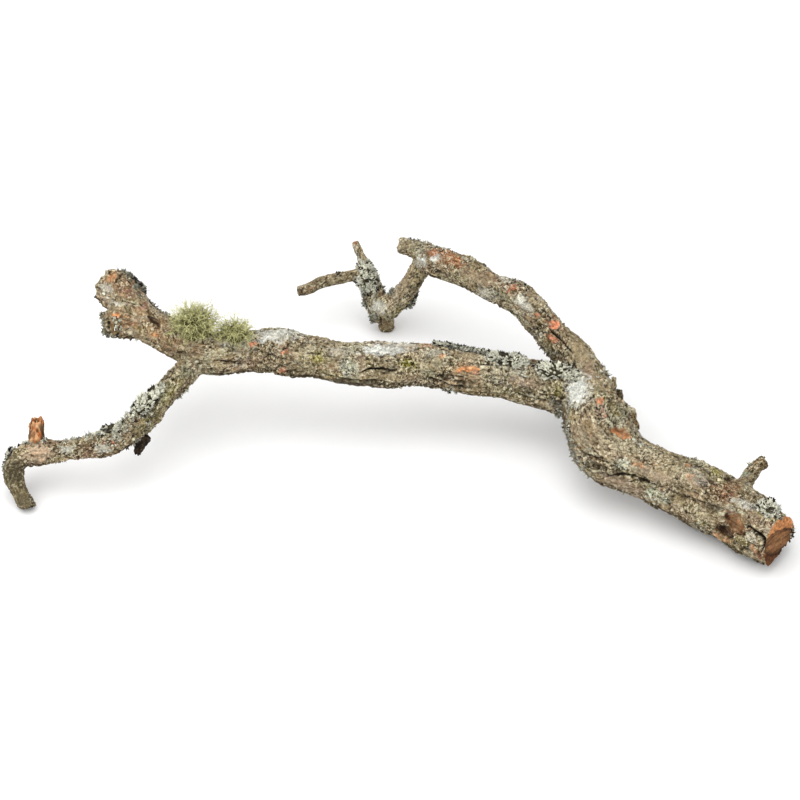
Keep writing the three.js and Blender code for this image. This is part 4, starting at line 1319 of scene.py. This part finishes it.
def threads(starts, ways, lengths, widths, droop, rng, steps=6):
    """Many tapered, wavering threads with three sides each.

    Gives points, faces, how far along its thread each point is, and the threads' centre lines.
    """
    count = len(starts)
    places = [starts]
    way = ways
    for _ in range(steps):
        way = unit(way + rng.normal(0, 0.32, (count, 3)) - UP * droop)
        places.append(places[-1] + way * (lengths / steps)[:, None])
    places = np.stack(places, axis=1)
    across = unit(np.cross(ways, rng.normal(0, 1, (count, 3))))
    other = np.cross(ways, across)
    rings = []
    for turn in (0, 2 * math.pi / 3, 4 * math.pi / 3):
        rings.append(across * math.cos(turn) + other * math.sin(turn))
    rings = np.stack(rings, axis=1)
    taper = np.linspace(1, 0.3, steps + 1)
    thick = (widths[:, None] * taper)[:, :, None, None]
    points = places[:, :, None, :] + rings[:, None, :, :] * thick / 2
    each = (steps + 1) * 3
    faces = []
    for row in range(steps):
        for k in range(3):
            a, b = row * 3 + k, row * 3 + (k + 1) % 3
            faces.append((a, b, b + 3, a + 3))
    faces = (np.array(faces)[None] + (np.arange(count) * each)[:, None, None]).reshape(-1, 4)
    ends = np.array([(2, 1, 0), (each - 3, each - 2, each - 1)])
    ends = (ends[None] + (np.arange(count) * each)[:, None, None]).reshape(-1, 3)
    share = np.tile(np.repeat(np.linspace(0, 1, steps + 1), 3), count)
    return points.reshape(-1, 3), faces.tolist() + ends.tolist(), share, places


BEARD_THREADS = {"beard_lichen_large": 520, "beard_lichen_small": 260}
HEART_VOXEL = 1.6
HEART_SHARE = 0.62  # of the tuft's box
OFFSHOOTS = 3  # finer threads off each thread


def beard(node, many, material, rng):
    """A bushy tuft: a small heart, threads that fan out and up from it and finer ones off those."""
    skin, low, high = node_skin(node, HEART_VOXEL)
    centre = (low + high) / 2
    half = (high - low) / 2
    skin.points = centre + (skin.points - centre) * HEART_SHARE - UP * half[2] * 0.2
    skin.push(2.2 * noise(skin.points / 4, 161))
    shade = 0.45 + 0.5 * ramp(-0.4, 0.6, noise(skin.points / 2, 162))
    heart_colour = linear("beard_root") * shade[:, None]

    ways = rng.normal(0, 1, (many, 3))
    ways[:, 2] = np.abs(ways[:, 2]) * 1.1 - 0.25
    ways = unit(ways)
    out = rng.uniform(0.25, 0.75, many)
    starts = centre + ways * half * out[:, None]
    ends = centre + ways * half * (out + rng.uniform(0.25, 0.5, many))[:, None]
    ends += rng.normal(0, 3.0, (many, 3))
    heading = ends - starts
    lengths = np.linalg.norm(heading, axis=1)
    heading /= lengths[:, None]
    thick = rng.uniform(0.75, 1.2, many)
    stems, faces, share, lines = threads(starts, heading, lengths * 1.15, thick, 0.02, rng)
    stem = np.repeat(np.arange(many), OFFSHOOTS)
    joint = lines[stem, rng.integers(2, 7, len(stem))]
    turned = unit(heading[stem] + rng.normal(0, 0.8, (len(stem), 3)))
    reaches = rng.uniform(2.5, 6.5, len(stem))
    thin = rng.uniform(0.5, 0.85, len(stem))
    fine, fine_faces, fine_share, _ = threads(joint, turned, reaches, thin, 0.02, rng, 4)
    hairs, faces = joined([(stems, faces), (fine, fine_faces)])
    share = np.concatenate([0.6 * share, 0.55 + 0.45 * fine_share])
    away = (hairs - centre) / half
    outer = np.clip(np.linalg.norm(away, axis=1), 0, 1.15)
    raised = ramp(-0.4, 0.7, away[:, 2])
    share = np.clip(0.4 * share + 0.45 * outer**2 + 0.25 * raised - 0.05, 0, 1)
    tone = np.repeat(rng.uniform(0.75, 1.15, len(share) // 3 + 1), 3)[: len(share)]
    colour = between("beard_root", "beard_tip", share[:, None]) * tone[:, None]
    points, faces, tint = joined([
        (skin.points, skin.quads.tolist(), heart_colour), (hairs, faces, np.clip(colour, 0, 1)),
    ])
    piece = new_piece(node + "_threads", points, faces, material, tint)
    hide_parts(node)


PLATE_ROWS, PLATE_COLUMNS = 13, 7
PLATE_THICK = 1.2


def plate_shape(length, width, lift, seed):
    """A curved ragged plate that lies along +X: points and faces."""
    rows, columns = PLATE_ROWS, PLATE_COLUMNS
    rng = np.random.default_rng(seed)
    left = np.convolve(rng.uniform(0.55, 1.1, rows + 2), [0.25, 0.5, 0.25], "valid")
    right = np.convolve(rng.uniform(0.55, 1.15, rows + 2), [0.25, 0.5, 0.25], "valid")
    top = []
    for i in range(rows):
        s = i / (rows - 1)
        narrow = math.sin(math.pi * (0.12 + 0.76 * s)) ** 0.6
        for j in range(columns):
            t = 2 * j / (columns - 1) - 1
            reach = narrow * (left[i] if t < 0 else right[i])
            x = (s - 0.5) * length + 0.06 * length * rng.uniform(-1, 1) * (i in (0, rows - 1))
            y = t * reach * width / 2
            z = lift * ((t + 1) / 2) ** 1.7 - 0.1 * width * t * t + 0.3 * rng.uniform(-1, 1)
            top.append((x, y, z))
    return shell(top, PLATE_THICK, rows, columns)


def bark_plates(tree, material):
    """Plates of bark that have come loose and stand off the limb at one edge."""
    parts = []
    for number, (x, y, length, width, heading, lift, name) in enumerate(PLATES):
        place, normal = seen_at(tree, x, y)
        along = image_way(heading)
        along = unit(along - normal * (along @ normal))
        across = np.cross(normal, along)
        if across @ IMAGE_RIGHT < 0:
            along, across = -along, -across
        shape, sides = plate_shape(length, width, lift, number)
        here = place + normal * 1.0 + shape @ np.array([along, across, normal])
        here = here + 0.5 * noise(here / 2.2, 171)[:, None] * normal
        tone = ramp(-0.8, 0.8, noise(here / 2.0, 172) + 0.5 * noise(here / 6, 173))
        tint = mix(plain("umber", len(here)), "grey_tan", tone)
        tint = mix(tint, name, np.full(len(here), 0.65))
        # Painted shade: the lower layer of each plate, which faces the bark, is near-black.
        tint[len(here) // 2 :] = linear("deep_shade") * 0.7
        parts.append((here, sides, tint))
    points, faces, tint = joined(parts)
    new_piece("loose_bark_plates", points, faces, material, tint)


SPLINTER_ROWS = ((0, 1.0), (0.4, 0.95), (0.8, 0.75), (1.0, 0.12))  # shares of length and width


def splinter(base, way, length, width, rng):
    """One torn fibre: a four-sided sliver with an uneven tip."""
    across = unit(np.cross(way, rng.normal(0, 1, 3)))
    other = np.cross(way, across)
    points, faces = [], []
    for step, (along, share) in enumerate(SPLINTER_ROWS):
        middle = base + way * length * along + rng.normal(0, 0.15 * step, 3)
        for a, b in ((1, 0.5), (-1, 0.5), (-1, -0.5), (1, -0.5)):
            points.append(middle + (across * a + other * b) * width * share / 2)
    for row in range(3):
        for k in range(4):
            a, b = row * 4 + k, row * 4 + (k + 1) % 4
            faces.append((a, b, b + 4, a + 4))
    faces += [(3, 2, 1, 0), (12, 13, 14, 15)]
    return np.array(points), faces


SPUR_VOXEL, FLAKE_VOXEL = 0.7, 0.8
SPUR_SPLINTERS = 18
SPUR_TEAR = 4.0  # how unevenly its top is torn off, mm


def splintered_spur(material, rng):
    """A stump torn off along its fibres, orange inside, with grey bark left on its sides."""
    skin, (_, _, low), (_, _, high) = node_skin("splintered_spur", SPUR_VOXEL, 2)
    normals = skin.normals()
    here = skin.points
    groove = 1.2 * noise(here / [2.6, 2.6, 14], 191) + 0.6 * noise(here / [1.2, 1.2, 8], 192)
    raised_by = ramp(low + 8, high, here[:, 2])
    torn = SPUR_TEAR * raised_by * noise(here / [4.0, 4.0, 60], 193)
    skin.points = here + normals * groove[:, None] + UP * torn[:, None]
    streak = ramp(-0.6, 0.7, noise(here / [1.5, 1.5, 9], 194))
    tint = mix(plain("spur_wood", len(here)), "spur_pale", 0.8 * streak)
    outside = ramp(0.3, 0.75, np.abs(normals @ IMAGE_RIGHT) + 0.35 * noise(here / 3, 195))
    tint = blend(tint, linear("umber") * 0.7, 0.9 * outside)
    # Painted shade in the grooves of the torn fibres.
    tint = mix(tint, "deep_shade", 0.8 * ramp(-0.4, -1.2, groove))
    foot = ramp(low + 15, low + 8, here[:, 2] + 2 * noise(here / 3, 196))
    tint = mix(tint, "umber", 0.9 * foot)

    parts = [(skin.points, skin.quads.tolist(), tint)]
    tops = np.flatnonzero((normals[:, 2] > 0.3) & (here[:, 2] > (low + high) / 2))
    for top in rng.choice(tops, SPUR_SPLINTERS, replace=False):
        way = unit(UP + rng.normal(0, 0.12, 3))
        base = skin.points[top] - UP * 2.5
        length, width = rng.uniform(4.0, 7.5), rng.uniform(1.2, 2.2)
        more, sides = splinter(base, way, length, width, rng)
        shade = between("spur_wood", "spur_pale", rng.uniform(0, 1)) * rng.uniform(0.6, 1.0)
        parts.append((more, sides, np.tile(shade, (len(more), 1))))
    points, faces, tint = joined(parts)
    name = "splintered_spur_fibres"
    piece = new_piece(name, points, faces, material, tint, smooth=False)
    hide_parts("splintered_spur")


def hanging_flake(material):
    """A dark strip of bark that has peeled down under the drooping branch."""
    skin, _, _ = node_skin("hanging_flake", FLAKE_VOXEL, 2)
    ragged = 0.9 * noise(skin.points / [2.2, 2.2, 6.0], 181) + 0.5 * noise(skin.points / 1.3, 182)
    skin.push(ragged)
    shade = ramp(-0.5, 0.9, noise(skin.points / 1.8, 183))
    tint = mix(0.5 * plain("flake_dark", len(shade)), "umber", 0.5 * shade)
    piece = new_piece("hanging_flake_bark", skin.points, skin.quads, material, tint)
    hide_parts("hanging_flake")


# Thin dark sprigs: pixel, length, heading in the image.
SPIKES = [
    (622, 401, 6, 100), (625, 405, 7, 15), (622, 404, 5, 60), (144, 293, 7, -60),
    (606, 366, 6, -80), (610, 368, 5, -40), (603, 367, 5, -110), (612, 372, 5, -20),
    (124, 268, 4, -70), (119, 268, 4, -100), (149, 302, 5, -50), (104, 312, 5, 160),
    (78, 434, 6, -150), (84, 432, 8, -80), (83, 433, 6, -40), (547, 351, 4, -60), (556, 398, 5, 170),
    (559, 420, 3, 175), (567, 438, 3, 165), (766, 505, 5, -20),
]


def sprigs(tree, material, rng):
    """Two thin dark threads at each of the places where the skyline shows them."""
    starts, ways = [], []
    for x, y, length, heading in SPIKES:
        place, normal = seen_at(tree, x, y)
        way = image_way(heading) + 0.4 * normal
        for _ in range(2):
            starts.append(place - normal * 0.5)
            ways.append(way * 0.75 * length + rng.normal(0, 1.2, 3))
    ways = np.array(ways)
    lengths = np.linalg.norm(ways, axis=1)
    thick = np.full(len(ways), 1.1)
    points, faces, _, _ = threads(np.array(starts), unit(ways), lengths, thick, 0.0, rng, 4)
    tint = 1.4 * plain("leaf_under", len(points))
    new_piece("dark_sprigs", points, faces, material, tint)


class Graph:
    """A material's nodes. Each method adds a node and returns one of its outputs."""

    def __init__(self, name, roughness, specular=0.2):
        self.material = bpy.data.materials.new(name)
        self.material.use_nodes = True
        self.shader = self.material.node_tree.nodes["Principled BSDF"]
        self.shader.inputs["Roughness"].default_value = roughness
        self.shader.inputs["Specular IOR Level"].default_value = specular

    def feed(self, socket, value):
        """Links another node's output to a socket, or sets it to a number or a vector."""
        if isinstance(value, bpy.types.NodeSocket):
            self.material.node_tree.links.new(value, socket)
        else:
            socket.default_value = value

    def add(self, kind, output, inputs, **settings):
        node = self.material.node_tree.nodes.new("ShaderNode" + kind)
        for name, value in settings.items():
            setattr(node, name, value)
        for name, value in inputs.items():
            self.feed(node.inputs[name], value)
        return node.outputs[output]

    def attribute(self, name, output):
        return self.add("Attribute", output, {}, attribute_name=name)

    def noise(self, place, scale, detail=4.0):
        inputs = {"Vector": place, "Scale": scale, "Detail": detail, "Roughness": 0.65}
        return self.add("TexNoise", "Fac", inputs)

    def cells(self, place, feature, output):
        return self.add("TexVoronoi", output, {"Vector": place, "Scale": 1.0}, feature=feature)

    def remap(self, value, low, high, to_low, to_high):
        ends = {"From Min": low, "From Max": high, "To Min": to_low, "To Max": to_high}
        return self.add("MapRange", "Result", {"Value": value, **ends})

    def maths(self, operation, first, second):
        return self.add("Math", "Value", {0: first, 1: second}, operation=operation)

    def product(self, first, second):
        return self.maths("MULTIPLY", first, second)

    def times(self, vector, other):
        """A vector multiplied by a fixed one, axis by axis."""
        return self.add("VectorMath", "Vector", {0: vector, 1: other}, operation="MULTIPLY")

    def scaled(self, vector, factor):
        return self.add("VectorMath", "Vector", {0: vector, "Scale": factor}, operation="SCALE")

    def lessened(self, factor, share):
        """A factor that goes to 1 where its share goes to 0."""
        return self.add("Mix", "Result", {"A": 1.0, "Factor": share, "B": factor})

    def mixed(self, share, colour, name):
        """A colour mixed with a named one."""
        inputs = {"Factor": share, "A": colour, "B": (*linear(name), 1)}
        return self.add("Mix", "Result", inputs, data_type="RGBA")

    def finish(self, colour, height, distance, strength):
        """Gives the shader its colour and its bump, and returns the material."""
        self.feed(self.shader.inputs["Base Color"], colour)
        inputs = {"Height": height, "Distance": distance, "Strength": strength}
        self.feed(self.shader.inputs["Normal"], self.add("Bump", "Normal", inputs))
        return self.material


CHIP = (1 / 5.5, 1 / 3.0, 1 / 3.0)  # bark chips are 5.5 mm long and 3 mm wide
STREAK = (1 / 8.0, 1 / 1.7, 1 / 1.7)
FISSURE = (1 / 15.0, 1 / 5.0, 1 / 5.0)
WANDER = (7.0, 7.0, 7.0)  # how far, in mm, the chips and streaks stray from straight


def bark_material():
    """Bark: the mesh's tint with chips, streaks, fissures, pale flecks and dark pits; the darker chip
    borders, fissures and pits are painted shade.
    """
    graph = Graph("bark", 0.9)
    tint = graph.attribute("tint", "Color")
    chipped = graph.attribute("tint", "Alpha")
    fibre = graph.attribute("fibre", "Vector")
    stray = graph.times(graph.add("TexNoise", "Color", {"Vector": fibre, "Scale": 0.3}), WANDER)
    warped = graph.add("VectorMath", "Vector", {0: fibre, 1: stray}, operation="ADD")

    chip_place = graph.times(warped, CHIP)
    chip_colour = graph.cells(chip_place, "F1", "Color")
    chip = graph.add("SeparateColor", "Red", {"Color": chip_colour})
    tone = graph.remap(chip, 0, 1, 0.72, 1.32)
    # Painted shade: chip borders are darkened, and the same factor sinks them in the bump.
    gap = graph.cells(chip_place, "DISTANCE_TO_EDGE", "Distance")
    edge = graph.remap(gap, 0.0, 0.14, 0.5, 1.0)
    scaly = graph.remap(graph.noise(fibre, 0.06, 2.0), 0.42, 0.58, 0.25, 1.0)
    scales = graph.lessened(graph.product(tone, edge), scaly)

    streaks = graph.remap(graph.noise(graph.times(warped, STREAK), 1.0, 2.0), 0.33, 0.67, 0.66, 1.38)
    # Painted shade: thin fissures are darkened, and sunk in the bump too.
    ridge = graph.maths("PINGPONG", graph.noise(graph.times(warped, FISSURE), 1.0, 3.0), 0.1)
    split = graph.remap(ridge, 0.0, 0.016, 0.42, 1.0)
    grit = graph.noise(fibre, 0.8, 3.0)
    rough_tone = graph.remap(grit, 0.32, 0.68, 0.68, 1.38)
    bark = graph.product(graph.product(scales, split), rough_tone)
    bark = graph.product(graph.lessened(bark, chipped), streaks)

    speck = graph.noise(warped, 0.37, 4.0)
    brightness = graph.add("RGBToBW", "Val", {"Color": tint})
    lit = graph.remap(brightness, 0.03, 0.2, 0, 1)
    busy = graph.remap(graph.noise(fibre, 0.05, 2.0), 0.42, 0.56, 0.38, 1.0)
    pale = graph.product(graph.product(graph.remap(speck, 0.54, 0.61, 0, 0.95), lit), busy)
    # Painted shade of small pits, in the near-black shade colour.
    dark = graph.product(graph.remap(speck, 0.482, 0.4, 0, 0.98), busy)
    colour = graph.scaled(tint, bark)
    colour = graph.mixed(graph.product(pale, chipped), colour, "light_fleck")
    colour = graph.mixed(graph.product(dark, chipped), colour, "deep_shade")
    return graph.finish(colour, graph.maths("ADD", bark, grit), 0.0010, 0.8)


# Each grown material's speckle and its fineness, its bump and its fineness, and its roughness.
GROWN = {
    "leafy_lichen": (0.14, 1100, 0.35, 1900, 0.92),
    "beard_lichen": (0.1, 900, 0.2, 2500, 0.9),
    "bare_wood": (0.2, 1200, 0.5, 2200, 0.7),
}


def grown_material(name, speckle, speckle_scale, bump, bump_scale, roughness):
    """A matt material: the mesh's own tint, broken up by fine noise, with a fine bump."""
    graph = Graph(name, roughness)
    place = graph.add("TexCoord", "Object", {})
    tone = graph.remap(graph.noise(place, speckle_scale), 0.3, 0.7, 1 - speckle, 1 + speckle)
    colour = graph.scaled(graph.attribute("tint", "Color"), tone)
    return graph.finish(colour, graph.noise(place, bump_scale, 6.0), 0.0008, bump)


SKY_STRENGTH = 0.86
FLOOR_REACH = 6.0  # metres
FLOOR_DROP = 0.0004  # metres, so that nothing that rests on it flickers

# Name, place and size in metres, power in watts.
LAMPS = (
    ("overhead", (-0.5, -0.3, 2.2), 2.6, 32),
    ("front_left", (-1.8, -1.9, 1.5), 1.8, 12),
)
LAMPS_AIM = (0, 0, 0.05)  # metres


def studio():
    """A white sky, a pale floor and two soft lamps."""
    bpy.context.scene.view_settings.view_transform = "Standard"
    world = bpy.data.worlds.new("studio")
    bpy.context.scene.world = world
    world.use_nodes = True
    sky = world.node_tree.nodes["Background"]
    sky.inputs["Color"].default_value = (1.0, 1.0, 1.0, 1)
    sky.inputs["Strength"].default_value = SKY_STRENGTH

    mesh = bpy.data.meshes.new("floor")
    corners = [(x * FLOOR_REACH, y * FLOOR_REACH, 0) for x, y in ((-1, -1), (1, -1), (1, 1), (-1, 1))]
    mesh.from_pydata(corners, [], [(0, 1, 2, 3)])
    floor = placed("floor", mesh)
    floor.location.z = -FLOOR_DROP
    paper = Graph("floor_paper", 0.95, 0.5)
    grain_of_paper = paper.noise(paper.add("TexCoord", "Object", {}), 40)
    paper.feed(paper.shader.inputs["Base Color"], paper.remap(grain_of_paper, 0, 1, 0.93, 0.96))
    mesh.materials.append(paper.material)

    for name, place, size, power in LAMPS:
        light = bpy.data.lights.new(name, "AREA")
        light.size = size
        light.energy = power
        lamp = placed(name, light)
        lamp.location = place
        way = Vector(LAMPS_AIM) - lamp.location
        lamp.rotation_euler = way.to_track_quat("-Z", "Y").to_euler()


def camera():
    """The camera at the photograph's angle."""
    data = bpy.data.cameras.new("photo_view")
    data.sensor_width = 36.0
    data.lens = data.sensor_width * DISTANCE / FRAME
    eye = placed("photo_view", data)
    eye.location = Vector(CAMERA_AT * MM)
    eye.rotation_euler = Vector(-TO_CAMERA).to_track_quat("-Z", "Y").to_euler()
    bpy.context.scene.camera = eye


def build():
    """The whole branch: materials, wood, lichen and what hangs and stands on it."""
    bark = bark_material()
    leafy, thread, torn = (grown_material(name, *look) for name, look in GROWN.items())

    spines = {name: smooth_spine(name) for name in LIMBS}
    skin, colour, fibre, owner, nodes = wood_surface(spines)
    split_wood(skin, colour, fibre, owner, nodes, bark)
    tree = skin.tree()

    rng = np.random.default_rng(11)
    for node in [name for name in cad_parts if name.startswith("leafy_lichen_")]:
        cushion(node, tree, leafy, rng)
    sprinkle(tree, leafy, rng)
    hidden_leaves(skin, leafy, rng)
    for node, many in BEARD_THREADS.items():
        beard(node, many, thread, rng)
    bark_plates(tree, bark)
    splintered_spur(torn, rng)
    hanging_flake(bark)
    sprigs(tree, leafy, rng)


camera()
studio()
build()
